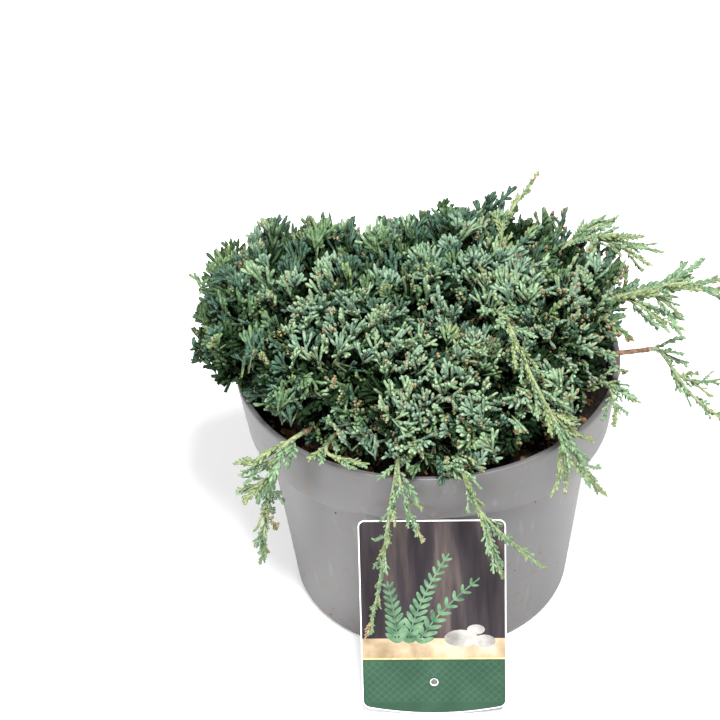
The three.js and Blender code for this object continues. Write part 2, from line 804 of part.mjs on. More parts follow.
dealTips(seeded(seed));
mound.forEach((mass, number) => {
  growMass(mass, number);
  addMass(mass, greens[number % greens.length]);
});
trailing.forEach((shoot, number) => {
  growShoot(shoot, number);
  addMass(shoot, trailingGreen);
});

export default plant;
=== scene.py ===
import math

import bmesh
import bpy
import numpy as np
from mathutils import Matrix, Quaternion, Vector, noise


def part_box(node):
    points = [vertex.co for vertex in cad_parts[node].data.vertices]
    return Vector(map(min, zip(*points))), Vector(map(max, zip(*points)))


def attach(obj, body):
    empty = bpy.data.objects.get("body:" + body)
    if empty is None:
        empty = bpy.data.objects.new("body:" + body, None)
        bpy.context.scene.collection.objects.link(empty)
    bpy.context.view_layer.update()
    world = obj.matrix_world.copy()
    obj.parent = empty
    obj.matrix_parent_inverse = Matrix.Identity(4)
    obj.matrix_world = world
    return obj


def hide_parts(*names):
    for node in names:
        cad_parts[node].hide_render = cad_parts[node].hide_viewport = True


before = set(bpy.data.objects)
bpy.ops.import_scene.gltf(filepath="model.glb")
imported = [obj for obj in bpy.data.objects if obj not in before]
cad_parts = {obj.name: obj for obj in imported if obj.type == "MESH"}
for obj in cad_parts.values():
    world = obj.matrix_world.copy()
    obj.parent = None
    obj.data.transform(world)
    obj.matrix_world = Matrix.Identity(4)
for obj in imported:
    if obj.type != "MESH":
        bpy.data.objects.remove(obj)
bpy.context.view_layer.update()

mm = 0.001
full_turn = 2 * math.pi
up = Vector((0, 0, 1))


# Pot: one thin wall of grey polypropylene, injection moulded, with a collar that steps out near its
# top, a rolled lip and six drain holes in the floor. The plant tag presses a dent in the collar.
pot_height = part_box("pot")[1].z
rim_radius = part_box("pot")[1].x
base_radius = 88 * mm
wall = 2.5 * mm
collar_bottom = 130 * mm
collar_belly = 148 * mm
wall_top_radius = 104 * mm
collar_radius = 114.5 * mm
belly_radius = 117 * mm
lip_inner_radius = rim_radius - 3.5 * mm
collar_dent = 5 * mm
dent_width = math.radians(26)
drain_ring = 62 * mm
drain_holes = 6
drain_radius = 5 * mm
pot_steps = 144
sharp_corner = math.radians(38)
pot_grey = (0.086, 0.083, 0.085)
pot_scuff = (0.19, 0.19, 0.19)
dried_dirt = (0.085, 0.066, 0.048)


class Finish:
    """A material being made: its shader and the nodes that vary it over the surface."""

    def __init__(self, name, colour, roughness, sockets={}):
        self.material = bpy.data.materials.new(name)
        self.material.use_nodes = True
        self.tree = self.material.node_tree
        self.shader = self.tree.nodes["Principled BSDF"]
        self.place = self.node("ShaderNodeTexCoord").outputs["Object"]
        self.feed(self.shader, {"Base Color": (*colour, 1), "Roughness": roughness, **sockets})

    def feed(self, node, sockets):
        """Sockets of a node are linked to other nodes' outputs or set to plain values."""
        for socket, value in sockets.items():
            if isinstance(value, bpy.types.NodeSocket):
                self.tree.links.new(value, node.inputs[socket])
            else:
                node.inputs[socket].default_value = value
        return node

    def node(self, kind, **sockets):
        """A new node with its sockets fed."""
        return self.feed(self.tree.nodes.new(kind), sockets)

    def stretched(self, scale):
        """The surface's own place, stretched by a scale each way."""
        return self.node("ShaderNodeMapping", Scale=scale, Vector=self.place).outputs["Vector"]

    def grain(self, scale, detail=3, place=None):
        """Soft cloudy noise, with scale in patches to the metre."""
        noise_node = self.node("ShaderNodeTexNoise", Scale=scale, Detail=detail, Vector=place or self.place)
        return noise_node.outputs["Fac"]

    def cells(self, scale, place=None):
        """How far the nearest of many scattered points is, which gives small rounded scales."""
        return self.node("ShaderNodeTexVoronoi", Scale=scale, Vector=place or self.place).outputs["Distance"]

    def ramp(self, value, stops):
        """Colours for the values from 0 to 1, as pairs of place and colour."""
        made = self.node("ShaderNodeValToRGB", Fac=value)
        while len(made.color_ramp.elements) < len(stops):
            made.color_ramp.elements.new(0.5)
        for element, (place, colour) in zip(made.color_ramp.elements, stops):
            element.position = place
            element.color = (*colour, 1)
        return made.outputs["Color"]

    def grey(self, value, stops):
        """Levels for the values from 0 to 1, as pairs of place and level."""
        return self.ramp(value, [(place, (level, level, level)) for place, level in stops])

    def mixed(self, share, under, over):
        """A plain colour laid over another one, by a share from 0 to 1."""
        made = self.node("ShaderNodeMix")
        made.data_type = "RGBA"
        return self.feed(made, {"Factor": share, "A": under, "B": (*over, 1)}).outputs["Result"]

    def colour(self, value):
        self.feed(self.shader, {"Base Color": value})
        return self

    def bump(self, height, depth, strength):
        """Relief on the surface, from heights between 0 and 1."""
        made = self.node("ShaderNodeBump", Strength=strength, Distance=depth, Height=height)
        self.feed(self.shader, {"Normal": made.outputs["Normal"]})
        return self

    def mottled(self, scale, detail, *stops):
        """The colour varies with soft noise, between stops of place and colour."""
        return self.colour(self.ramp(self.grain(scale, detail), stops))

    def grained(self, scale, detail, depth, strength):
        """A relief of soft noise."""
        return self.bump(self.grain(scale, detail), depth, strength)


def fitted(piece, finish):
    """The piece with its finish in its one material slot, riding on the one body."""
    piece.data.materials.clear()
    piece.data.materials.append(finish.material)
    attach(piece, "root")
    return piece


def into_scene(name, data):
    """A new object in the scene, for a mesh, a curve, a light or a camera."""
    made = bpy.data.objects.new(name, data)
    bpy.context.scene.collection.objects.link(made)
    return made


def piece_from(bm, name, crease=None):
    """A piece from a closed bmesh whose faces may still point either way."""
    bmesh.ops.remove_doubles(bm, verts=bm.verts, dist=1e-6)
    bmesh.ops.recalc_face_normals(bm, faces=bm.faces)
    mesh = bpy.data.meshes.new(name)
    bm.to_mesh(mesh)
    bm.free()
    mesh.shade_smooth()
    if crease:
        mesh.set_sharp_from_angle(angle=crease)
    return into_scene(name, mesh)


def about_axis(radius, angle, height):
    """The point at a radius, angle and height about the pot's axis."""
    return Vector((radius * math.cos(angle), radius * math.sin(angle), height))


def spun(profile, steps):
    """A bmesh of a profile of radius and height, turned round the pot's axis."""
    bm = bmesh.new()
    points = [bm.verts.new((radius, 0, height)) for radius, height in profile]
    sides = [bm.edges.new(pair) for pair in zip(points, points[1:])]
    bmesh.ops.spin(bm, geom=points + sides, axis=up, angle=full_turn, steps=steps, use_merge=True)
    bmesh.ops.remove_doubles(bm, verts=bm.verts, dist=1e-6)
    return bm


def dent_at(angle, height):
    """How far the collar is pressed in there, most at its lower edge behind the tag."""
    away = (angle + math.pi / 2) / dent_width
    fade_top = pot_height - 3.5 * mm
    low = min(1, max(0, (fade_top - height) / (fade_top - collar_bottom)))
    return collar_dent * math.exp(-away * away) * low * low


def ring_edges(bm):
    """The edges that run round the axis, where a turned profile has its corners."""
    rings = []
    for edge in bm.edges:
        one, other = [vert.co for vert in edge.verts]
        level = abs(one.z - other.z) < 1e-6 and abs(one.xy.length - other.xy.length) < 1e-5
        if level and one.xy.length > base_radius * 0.9:
            rings.append(edge)
    return rings


pot_profile = [
    (0, 0),
    (base_radius - 4 * mm, 0),
    (base_radius - 0.6 * mm, 1.6 * mm),
    (base_radius + 0.5 * mm, 4 * mm),
    (wall_top_radius, collar_bottom),
    (collar_radius, collar_bottom),
    (belly_radius, collar_belly),
    (rim_radius, pot_height - 3 * mm),
    (rim_radius, pot_height),
    (lip_inner_radius, pot_height),
    (collar_radius - wall + 1.6 * mm, collar_belly),
    (collar_radius - wall, collar_bottom + wall),
    (wall_top_radius - wall, collar_bottom + wall),
    (base_radius - wall, wall),
    (0, wall),
]
bm = spun(pot_profile, pot_steps)
bmesh.ops.bevel(
    bm,
    geom=ring_edges(bm),
    offset=0.9 * mm,
    offset_type="OFFSET",
    segments=3,
    profile=0.5,
    affect="EDGES",
    clamp_overlap=True,
    material=-1,
)
for vert in bm.verts:
    radius = vert.co.xy.length
    if vert.co.z > collar_bottom - wall and radius > collar_radius - 2 * wall:
        share = 1 - dent_at(math.atan2(vert.co.y, vert.co.x), vert.co.z) / radius
        vert.co.xy = vert.co.xy * share
pot = piece_from(bm, "nursery_pot", crease=sharp_corner)


def worked_out(piece):
    """The mesh that an object has once its modifiers are applied, or its curve is drawn."""
    bpy.context.view_layer.update()
    return bpy.data.meshes.new_from_object(piece.evaluated_get(bpy.context.evaluated_depsgraph_get()))


def drill(piece, places, radius, depth):
    """Round holes are cut through the piece at each place, along that place's own Z."""
    drills = bmesh.new()
    round_drill = {"cap_ends": True, "segments": 28, "radius1": radius, "radius2": radius, "depth": depth}
    for place in places:
        bmesh.ops.create_cone(drills, **round_drill, matrix=place)
    drill_piece = piece_from(drills, piece.name + "_drills")
    cut = piece.modifiers.new("holes", "BOOLEAN")
    cut.operation = "DIFFERENCE"
    cut.object = drill_piece
    mesh = worked_out(piece)
    mesh.set_sharp_from_angle(angle=sharp_corner)
    piece.modifiers.clear()
    piece.data = mesh
    bpy.data.objects.remove(drill_piece)


drain_angles = [(hole + 0.5) * full_turn / drain_holes for hole in range(drain_holes)]
drain_places = [Matrix.Translation(about_axis(drain_ring, angle, 0)) for angle in drain_angles]
drill(pot, drain_places, drain_radius, 4 * wall)

plastic = Finish("moulded grey plastic", pot_grey, 0.45, {"Specular IOR Level": 0.4})
cloud = plastic.grain(14, 4)
pot_tones = [(place, [share * level for level in pot_grey]) for place, share in ((0.3, 0.80), (0.7, 1.18))]
upright = plastic.stretched((0.5, 0.5, 0.14))
scratches = plastic.grey(plastic.grain(330, 6, upright), [(0.62, 0), (0.80, 0.45)])
splashes = plastic.grey(plastic.grain(120, 5), [(0.54, 0), (0.74, 0.75)])
scuffed = plastic.mixed(scratches, plastic.ramp(cloud, pot_tones), pot_scuff)
plastic.colour(plastic.mixed(splashes, scuffed, dried_dirt))
plastic.feed(plastic.shader, {"Roughness": plastic.grey(cloud, [(0.3, 0.40), (0.8, 0.56)])})
plastic.grained(900, 2, 0.05 * mm, 0.35)
fitted(pot, plastic)
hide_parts("pot")


# Compost: moist dark peat that fills the pot to two centimetres below the lip, nearly flat round the
# plant's foot and in low waves further out, with a scatter of bark chips and crumbs pressed into it.
soil_level = 150 * mm
soil_bed_radius = 24 * mm
soil_unevenness = 3 * mm
soil_rings = 44
soil_steps = 120
chip_count = 620
crumb_count = 900
speck_count = 150
soil_gap = 0.3 * mm
peat_brown = (0.016, 0.010, 0.006)


def seeded(start):
    """Park-Miller numbers from 0 to 1, the same on every run."""
    state = start
    while True:
        state = (state * 48271) % 2147483647
        yield state / 2147483647


def smooth(value, low, high):
    """From 0 at the low value to 1 at the high one, with a soft start and end."""
    share = min(1, max(0, (value - low) / (high - low)))
    return share * share * (3 - 2 * share)


def soil_height(place):
    """The compost's surface: the same waves as the solid, and crumbs on top of them."""
    radius, angle = place.xy.length, math.atan2(place.y, place.x)
    away = smooth(radius, soil_bed_radius, 2 * soil_bed_radius)
    waves = math.sin(3 * angle + radius / (19 * mm)) + math.cos(5 * angle - radius / (13 * mm))
    crumbs = noise.fractal(Vector((place.x, place.y, 0)) * 160, 0.8, 2.1, 4)
    return soil_level + away * soil_unevenness * 0.5 * waves + (0.3 + away) * 1.1 * mm * crumbs


def collar_inside(height):
    """Radius of the collar's inner wall there."""
    share = (height - collar_bottom - wall) / (collar_belly - collar_bottom - wall)
    return collar_radius - wall + share * 1.6 * mm


soil_edge = collar_inside(soil_level) - 0.5 * mm
soil_profile = [
    (0, wall + soil_gap),
    (base_radius - wall - 0.7 * mm, wall + soil_gap),
    (wall_top_radius - wall - 0.7 * mm, collar_bottom + wall + soil_gap),
    (collar_radius - wall - 0.5 * mm, collar_bottom + wall + soil_gap),
]
soil_profile += [(soil_edge * (1 - ring / soil_rings), soil_level) for ring in range(soil_rings + 1)]
bm = spun(soil_profile, soil_steps)
for vert in bm.verts:
    place = vert.co
    if place.z > soil_level - 1e-5:
        place.z = soil_height(place)
    if place.z > collar_bottom and place.xy.length > soil_edge * 0.6:
        dent = dent_at(math.atan2(place.y, place.x), place.z)
        place.xy = place.xy * (1 - dent * (place.xy.length / soil_edge) ** 4 / place.xy.length)
soil = piece_from(bm, "compost")
peat = Finish("moist peat", peat_brown, 0.93)
peat.mottled(420, 6, (0.30, (0.005, 0.0035, 0.0025)), (0.55, peat_brown), (0.78, (0.045, 0.027, 0.015)))
fitted(soil, peat.grained(1300, 5, 0.8 * mm, 0.9))
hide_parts("soil")


def arrays_of(bm):
    """The points and triangles of a small shape that is repeated many times."""
    bmesh.ops.triangulate(bm, faces=bm.faces)
    bm.verts.index_update()
    points = np.array([vert.co[:] for vert in bm.verts])
    faces = np.array([[vert.index for vert in face.verts] for face in bm.faces])
    bm.free()
    return points, faces


def joined(copies):
    """One array of points and one of triangles, from many copies that have both."""
    starts = np.cumsum([0] + [len(points) for points, _ in copies[:-1]])
    points = np.concatenate([points for points, _ in copies])
    return points, np.concatenate([faces + start for (_, faces), start in zip(copies, starts)])


def joined_piece(name, copies, smooth_sides=True):
    """One mesh piece from many copies of small shapes."""
    points, faces = joined(copies)
    mesh = bpy.data.meshes.new(name)
    mesh.from_pydata(points, [], faces)
    if smooth_sides:
        mesh.shade_smooth()
    return into_scene(name, mesh)


def chip_shape(draw, thickness):
    """A broken chip: a small ball of twenty faces, flattened and knocked out of true."""
    bm = bmesh.new()
    bmesh.ops.create_icosphere(bm, subdivisions=1, radius=1)
    for vert in bm.verts:
        vert.co *= 0.75 + 0.5 * next(draw)
        vert.co.z *= thickness
        vert.co.y *= 0.62
    return arrays_of(bm)


def turned_copy(shape, size, turn, place):
    """A copy of a shape, sized each way, turned and set in its place."""
    points, faces = shape
    turn = np.array(turn.to_matrix())
    return (points * size) @ turn.T + np.array(place), faces


def scattered(count, shapes, smallest, largest, draw):
    """Chips that lie on the compost, most of them flat, clear of the trunk's foot."""
    copies = []
    for index in range(count):
        radius = (soil_edge - collar_dent - 3 * mm) * math.sqrt(0.02 + 0.98 * next(draw))
        place = about_axis(radius, full_turn * next(draw), 0)
        size = (smallest + (largest - smallest) * next(draw) ** 2) * mm
        place.z = soil_height(place) + 0.25 * size
        turn = Quaternion(up, full_turn * next(draw))
        turn = Quaternion((1, 0, 0), 0.9 * (next(draw) - 0.5)) @ turn
        if radius > 18 * mm:
            copies.append(turned_copy(shapes[index % len(shapes)], size, turn, place))
    return copies


def wall_specks(count, shapes, draw):
    """Crumbs of wet peat that dried on the pot's wall, more of them low down."""
    copies = []
    for index in range(count):
        angle = full_turn * next(draw)
        height = collar_bottom * (0.06 + 0.86 * next(draw) ** 1.4)
        radius = base_radius + (wall_top_radius - base_radius) * (height - 4 * mm) / (collar_bottom - 4 * mm)
        turn = about_axis(1, angle, 0).to_track_quat("Z", "Y")
        size = (0.35 + 1.1 * next(draw) ** 3) * mm
        copies.append(turned_copy(shapes[index % len(shapes)], size, turn, about_axis(radius, angle, height)))
    return copies


draw = seeded(90017)
chip_shapes = [chip_shape(draw, 0.35) for _ in range(6)]
crumb_shapes = [chip_shape(draw, 0.7) for _ in range(6)]
chips = joined_piece("bark_chips", scattered(chip_count, chip_shapes, 1.6, 5.2, draw), False)
crumbs = joined_piece("peat_crumbs", scattered(crumb_count, crumb_shapes, 0.8, 2.6, draw), False)
specks = joined_piece("dried_peat_specks", wall_specks(speck_count, crumb_shapes, draw), False)
chip_finish = Finish("orange brown bark chips", (0.20, 0.095, 0.040), 0.88)
chip_tones = [(0.28, (0.055, 0.029, 0.015)), (0.50, (0.22, 0.100, 0.040)), (0.70, (0.46, 0.25, 0.115))]
fitted(chips, chip_finish.mottled(190, 3, *chip_tones).grained(1500, 4, 0.3 * mm, 0.8))
crumb_finish = Finish("dry peat crumbs", (0.06, 0.037, 0.022), 0.95)
crumb_finish.mottled(240, 2, (0.35, (0.020, 0.012, 0.008)), (0.7, (0.11, 0.068, 0.040)))
crumb_finish.grained(2100, 3, 0.2 * mm, 0.8)
fitted(crumbs, crumb_finish)
fitted(specks, crumb_finish)


# Trunk and boughs: the leaning trunk flares at the compost and forks into low boughs, which spread to
# the edge of the mound, and higher ones round the crown. Young boughs leave them for the long shoots.
trunk_foot = Vector((-3, 3, 150.3)) * mm
trunk_tip = Vector((3, 1, 189)) * mm
mound_reach = [132, 132, 122, 100, 94, 150, 151, 142, 124, 126, 121, 124]
mound_tuck = [0.12, 0.04, 0, 0, 0, 0.02, 0.06, 0.26, 0.14, 0, 0.02, 0.08]
tuck_tilts = (1.05, 1.5)
mound_base = 177 * mm
mound_rise = 64 * mm
mound_drop = 40 * mm
seat_gap = 0.3 * mm


class Route:
    """A curve that is measured by shares of its own length."""

    def __init__(self, points):
        self.points = np.array([point[:] for point in points])
        steps = np.linalg.norm(np.diff(self.points, axis=0), axis=1)
        self.measure = np.concatenate([[0], np.cumsum(steps)])
        self.length = self.measure[-1]

    def at(self, share):
        place = share * self.length
        return Vector([np.interp(place, self.measure, self.points[:, axis]) for axis in range(3)])

    def way(self, share):
        step = 0.01
        return (self.at(min(1, share + step)) - self.at(max(0, share - step))).normalized()


def arch(start, middle, end):
    """A quadratic curve: a bough, a stem or a fork."""
    shares = [index / 40 for index in range(41)]
    return Route([start * (1 - t) ** 2 + middle * (2 * t * (1 - t)) + end * t * t for t in shares])


def through(points):
    """A smooth curve through points that lie unevenly, as a shoot does."""
    points = [Vector(point) for point in points]
    ends = [points[0] * 2 - points[1]] + points + [points[-1] * 2 - points[-2]]
    dense = []
    for one, two, three, four in zip(ends, ends[1:], ends[2:], ends[3:]):
        lengths = [(b - a).length for a, b in ((one, two), (two, three), (three, four))]
        before, span, after = [max(1e-6, length) ** 0.5 for length in lengths]
        leave = ((two - one) / before - (three - one) / (before + span) + (three - two) / span) * span
        arrive = ((three - two) / span - (four - two) / (span + after) + (four - three) / after) * span
        bend = two * -3 + three * 3 - leave * 2 - arrive
        twist = two * 2 - three * 2 + leave + arrive
        dense += [two + leave * t + bend * t * t + twist * t**3 for t in [step / 24 for step in range(24)]]
    return Route(dense + [points[-1]])


def around(values, angle):
    """The value at an angle, from values that stand evenly round the pot from the right, anticlockwise."""
    count = len(values)
    place = (angle / full_turn * count) % count
    first = int(place)
    share = 0.5 - 0.5 * math.cos((place - first) * math.pi)
    return values[first] * (1 - share) + values[(first + 1) % count] * share


def mound_point(angle, tilt, scale=1.0):
    """A point of the mound's outline, from its crown at tilt 0 to under its edge, which is tucked in."""
    tuck = 1 - around(mound_tuck, angle) * smooth(tilt, *tuck_tilts)
    radius = around(mound_reach, angle) * mm * math.sin(tilt) ** 0.8 * tuck * scale
    fall = math.cos(tilt)
    rise = mound_rise * fall**0.75 if fall > 0 else mound_drop * fall
    return about_axis(radius, angle, mound_base + rise * scale)


def bough_from(parent, share, end, lift):
    """A bough leaves its parent at a share of the parent's length and arches to its end."""
    start = parent.at(share)
    middle = (start + end) / 2 + up * lift
    return arch(start, middle, end)


limbs = {"trunk": through([trunk_foot, trunk_foot + up * 8 * mm, trunk_tip])}
limb_radii = {}
mound = [{"heart": mound_point(0, 0, 0.72), "bough": "trunk"}]
# Each ring of low or high boughs: how many, the first one's angle and the tilt of all, how far out a
# mass's heart and its bough's end lie, the bough's share of the trunk and the spread of those shares,
# and its sag and its two radii in millimetres
rings = {
    "skirt": (9, 20, 1.22, 0.74, 0.46, 0.28, 0.3, -6, (3.1, 2.0)),
    "shoulder": (5, 50, 0.52, 0.7, 0.4, 0.78, 0, -3, (2.6, 1.9)),
}
for kind, (count, first, tilt, heart, end, low, spread, lift, radii) in rings.items():
    for number in range(count):
        angle = math.radians(first + number * 360 / count)
        name = f"bough_{kind}_{number + 1}"
        share = low + spread * (number * 4 % count) / count
        limbs[name] = bough_from(limbs["trunk"], share, mound_point(angle, tilt, end), lift * mm)
        limb_radii[name] = [radius * mm for radius in radii]
        mound.append({"heart": mound_point(angle, tilt, heart), "bough": name})

# The long shoots: the bough and share of it that each leaves, where its own bough ends, the points
# that it passes to its tip, and each side stem's share and tip
long_shoots = {
    "right_low": (
        "bough_skirt_9",
        0.55,
        [(138, -8, 174), (163, -22, 148), (188, -48, 140)],
        [(0.25, (184, -4, 145))],
    ),
    "front_right": (
        "bough_shoulder_5",
        0.6,
        [(33, -27, 219), (44, -62, 243), (57, -90, 223), (74, -105, 191), (97, -111, 148)],
        [(0.66, (76.5, -117, 158)), (0.6, (92, -92, 174))],
    ),
    "front_left": (
        "bough_skirt_7",
        0.5,
        [(-19, -98, 179), (-23, -119, 179), (-29, -129, 148), (-35.5, -131, 101), (-44, -134, 60)],
        [(0.1, (-10, -131, 134))],
    ),
    "front_middle": (
        "bough_skirt_8",
        0.45,
        [(12, -98, 178), (15, -121, 178), (25, -129, 152), (62, -126, 103)],
        [(0.4, (37, -133, 104))],
    ),
    "left": (
        "bough_skirt_6",
        0.5,
        [(-77, -82, 179), (-91, -97, 179), (-100, -96, 140), (-107, -92, 88)],
        [(0.2, (-116, -92, 165)), (0.3, (-117, -95, 147))],
    ),
    "crown": ("bough_shoulder_1", 0.55, [(40, 24, 214), (52, 36, 246), (71, 46, 270)], []),
    "right_back": (
        "bough_skirt_1",
        0.6,
        [(78, 46, 204), (100, 60, 216), (122, 69, 220)],
        [(0.2, (147, 40, 213)), (0.3, (139, 30, 212))],
    ),
    "right_far": (
        "bough_skirt_1",
        0.8,
        [(98, 10, 197), (132, 9, 206), (162, 9, 211), (182, 10, 199), (196, 11, 190)],
        [(0.3, (154, -6, 200)), (0.35, (163, 23, 206)), (0.15, (146, -17, 196))],
    ),
    "front_rim": ("bough_skirt_7", 0.3, [(-56, -82, 178), (-64, -104, 181), (-42, -118, 182)], []),
    "right_rim": (
        "bough_skirt_9",
        0.35,
        [(90, -44, 178), (108, -54, 184), (124, -60, 174)],
        [(0.35, (109, -80, 174))],
    ),
    "back_left": (
        "bough_skirt_4",
        0.5,
        [(-62, 88, 178), (-78, 112, 182), (-96, 130, 158), (-106, 137, 132)],
        [],
    ),
    "back_right": (
        "bough_skirt_2",
        0.5,
        [(38, 98, 178), (48, 120, 182), (58, 134, 156), (66, 138, 128)],
        [],
    ),
}
for name, (parent, share, points, side) in long_shoots.items():
    end = Vector(points[0]) * mm
    lift = -8 * mm if end.z < 190 * mm else 0
    limbs[f"branch_{name}"] = bough_from(limbs[parent], share, end, lift)
    limb_radii[f"branch_{name}"] = (2.2 * mm, 1.5 * mm)


def stems_piece(name, stems, roundness, step):
    """Round tapering stems, each a route with its root and tip radius, made one mesh with closed ends."""
    curve = bpy.data.curves.new(name, "CURVE")
    curve.dimensions = "3D"
    curve.bevel_depth = 1
    curve.bevel_resolution = roundness
    curve.use_fill_caps = True
    for route, radius_at in stems:
        count = max(2, round(route.length / step) + 1)
        spline = curve.splines.new("POLY")
        spline.points.add(count - 1)
        for index, point in enumerate(spline.points):
            share = index / (count - 1)
            point.co = (*route.at(share), 1)
            point.radius = radius_at(share)
    line = into_scene(name + "_line", curve)
    bm = bmesh.new()
    bm.from_mesh(worked_out(line))
    bpy.data.objects.remove(line)
    return piece_from(bm, name)


def taper(root, tip):
    """A stem's radius along its length, from its root to its tip."""
    return lambda share: root + (tip - root) * share


def trunk_radius(share):
    """The trunk's taper and its flare at the compost."""
    height = share * (trunk_tip.z - trunk_foot.z)
    return 8.5 * mm - 2.5 * mm * share + 6 * mm * math.exp(-height / (4.5 * mm))


def furrowed(piece, depth, scale):
    """Bark relief: the surface is moved in and out along its normals, in ridges longer than wide."""
    mesh = piece.data
    for vert in mesh.vertices:
        place = Vector((vert.co.x * scale, vert.co.y * scale, vert.co.z * scale * 0.45))
        ridge = abs(noise.noise(place)) * 2 - 0.5 + 0.5 * noise.noise(place * 3.1)
        foot = min(1, max(0, (vert.co.z - trunk_foot.z) / (2 * mm)))
        vert.co += vert.normal * (depth * ridge * foot)
    return piece


bark = Finish("flaking brown bark", (0.13, 0.075, 0.045), 0.92)
ridges = bark.grain(520, 6, bark.stretched((1, 1, 0.35)))
bark_tones = [(0.30, (0.045, 0.024, 0.015)), (0.52, (0.155, 0.085, 0.048)), (0.75, (0.30, 0.19, 0.12))]
bark.colour(bark.ramp(ridges, bark_tones))
bark.bump(ridges, 0.6 * mm, 0.9)
trunk = stems_piece("trunk_bark", [(limbs["trunk"], trunk_radius)], 12, 1.2 * mm)
fitted(furrowed(trunk, 0.7 * mm, 320), bark)
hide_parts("trunk")
bough_stems = [(limbs[name], taper(*radii)) for name, radii in limb_radii.items()]
boughs = stems_piece("boughs_bark", bough_stems, 4, 1.5 * mm)
fitted(furrowed(boughs, 0.28 * mm, 700), bark)
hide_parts(*limb_radii)


# Foliage of the mound: each mass's stem runs on from its bough to the mass's heart, twigs leave it for
# groups of tips that lie side by side, and each tip carries a bunch of small fans of scaly fingers.
# The fingers are cord-like shoots about two millimetres thick, covered in pressed scale leaves.
surface_tips = 238
last_tilt = 1.78
tip_spread = 0.72
closing_share = 0.52
tip_jitter = 6 * mm
rim_clearance = 4 * mm
spray_reach = 26 * mm
tips_on_twig = 4
pot_margin = 1.0 * mm
tag_margin = 1.5 * mm
stem_radii = (1.9 * mm, 1.33 * mm)
twig_radii = (1.2 * mm, 0.9 * mm)
spine_radii = (0.95 * mm, 0.7 * mm)
stalk_radii = (0.75 * mm, 0.6 * mm)
coarse_filling = 5 * mm
fine_filling = 4 * mm
golden_angle = math.pi * (3 - math.sqrt(5))
growth_seed = 20417
tag_width = 89 * mm
tag_top = Vector((-3, -109, 129.3)) * mm
tag_foot = Vector((-3, -144, 1)) * mm


def clear_of_pot(point):
    """Whether a point is above the rim, outside the pot, or over the compost inside it."""
    radius = point.xy.length
    if point.z > pot_height + pot_margin:
        return True
    if radius < collar_radius - wall - collar_dent:
        return point.z > soil_level + 2 * soil_unevenness
    return radius > rim_radius + pot_margin and point.z > pot_margin


def clear_of_tag(point):
    """Whether a point is beside, above or in front of the tag that leans on the pot."""
    if abs(point.x - tag_top.x) > tag_width / 2 + 3 * mm or point.z > collar_bottom:
        return True
    share = (tag_top.z - point.z) / (tag_top.z - tag_foot.z)
    return point.y < tag_top.y + (tag_foot.y - tag_top.y) * share - tag_margin


def deal_tips(draw):
    """Even tips over the mound, each with the root that its spray would have, dealt to the nearest mass."""
    for index in range(surface_tips):
        angle = (index * golden_angle + 0.4) % full_turn
        tilt = last_tilt * ((index + 0.5) / surface_tips) ** tip_spread
        jitter = [(next(draw) - 0.5) * 2 * tip_jitter for _ in range(3)]
        point = mound_point(angle, tilt) + Vector(jitter)
        if point.xy.length < rim_radius + rim_clearance:
            point.z = max(point.z, pot_height + rim_clearance)
        outward = about_axis(math.sin(tilt), angle, max(0, math.cos(tilt)))
        base = point - (outward + up * 0.55).normalized() * spray_reach
        base.z = max(base.z, pot_height + rim_clearance)
        nearest = min(mound, key=lambda mass: (mass["heart"] - point).length)
        nearest.setdefault("tips", []).append({"point": point, "base": base, "outward": outward})


def set_spreads(narrow, wide):
    """How far each tip's bunch spreads: half the way to its neighbours, so that the bunches close up."""
    tips = [tip for mass in mound for tip in mass.get("tips", [])]
    places = np.array([tip["point"][:] for tip in tips])
    for tip in tips:
        away = np.sort(np.linalg.norm(places - np.array(tip["point"][:]), axis=1))
        tip["spread"] = min(wide, max(narrow, closing_share * away[4]))


def grouped(tips):
    """Tips that lie together share a twig: each group is a tip and its nearest neighbours."""
    left = list(tips)
    groups = []
    while left:
        first = left[0]["point"]
        left.sort(key=lambda tip: (tip["point"] - first).length)
        groups.append(left[:tips_on_twig])
        left = left[tips_on_twig:]
    return groups


def finger_shape(sides, cuts, swell):
    """A scaly finger along +Y, one long and one in radius, swollen at its rings and with a blunt end."""
    bm = bmesh.new()
    bmesh.ops.create_cone(bm, cap_ends=True, cap_tris=cuts > 0, segments=sides, radius1=1, radius2=1, depth=1)
    if cuts:
        uprights = [edge for edge in bm.edges if abs(edge.verts[0].co.z - edge.verts[1].co.z) > 0.5]
        bmesh.ops.subdivide_edges(bm, edges=uprights, cuts=cuts)
    for vert in bm.verts:
        share = vert.co.z + 0.5
        at_tip = vert.co.xy.length < 0.01 and share > 0.9
        ring, width = swell[round(share * (cuts + 1))]
        vert.co.xy *= width
        vert.co.z = ring + (0.05 if at_tip else 0)
    bmesh.ops.rotate(bm, verts=bm.verts, cent=(0, 0, 0), matrix=Matrix.Rotation(-math.pi / 2, 3, "X"))
    return arrays_of(bm)


full_finger = finger_shape(4, 2, [(0, 0.55), (0.40, 0.95), (0.86, 1.08), (1.0, 0.60)])
plain_finger = finger_shape(3, 0, [(0, 0.8), (1.0, 0.9)])


def bent_finger(finger, length, radius, root, heading, curl, lean):
    """A finger in a fan: from its root at a heading, curling round as it grows, and leaning out of plane."""
    points = finger[0] * (radius, length, radius)
    along = points[:, 1] / length
    turn = heading + curl * along
    middle_turn = heading + curl * along / 2
    x = root[0] + np.sin(middle_turn) * points[:, 1] + np.cos(turn) * points[:, 0]
    y = root[1] + np.cos(middle_turn) * points[:, 1] - np.sin(turn) * points[:, 0]
    z = root[2] + points[:, 2] + lean * points[:, 1]
    tip = (math.sin(heading + curl / 2) * length, math.cos(heading + curl / 2) * length, lean * length)
    return np.stack([x, y, z], axis=1), np.array(root) + tip


def on_stalk(share, sway, length):
    """The place on a fan's curved stalk at a share of its length."""
    turn = sway * share / 2
    return (math.sin(turn) * share * length, math.cos(turn) * share * length, 0)


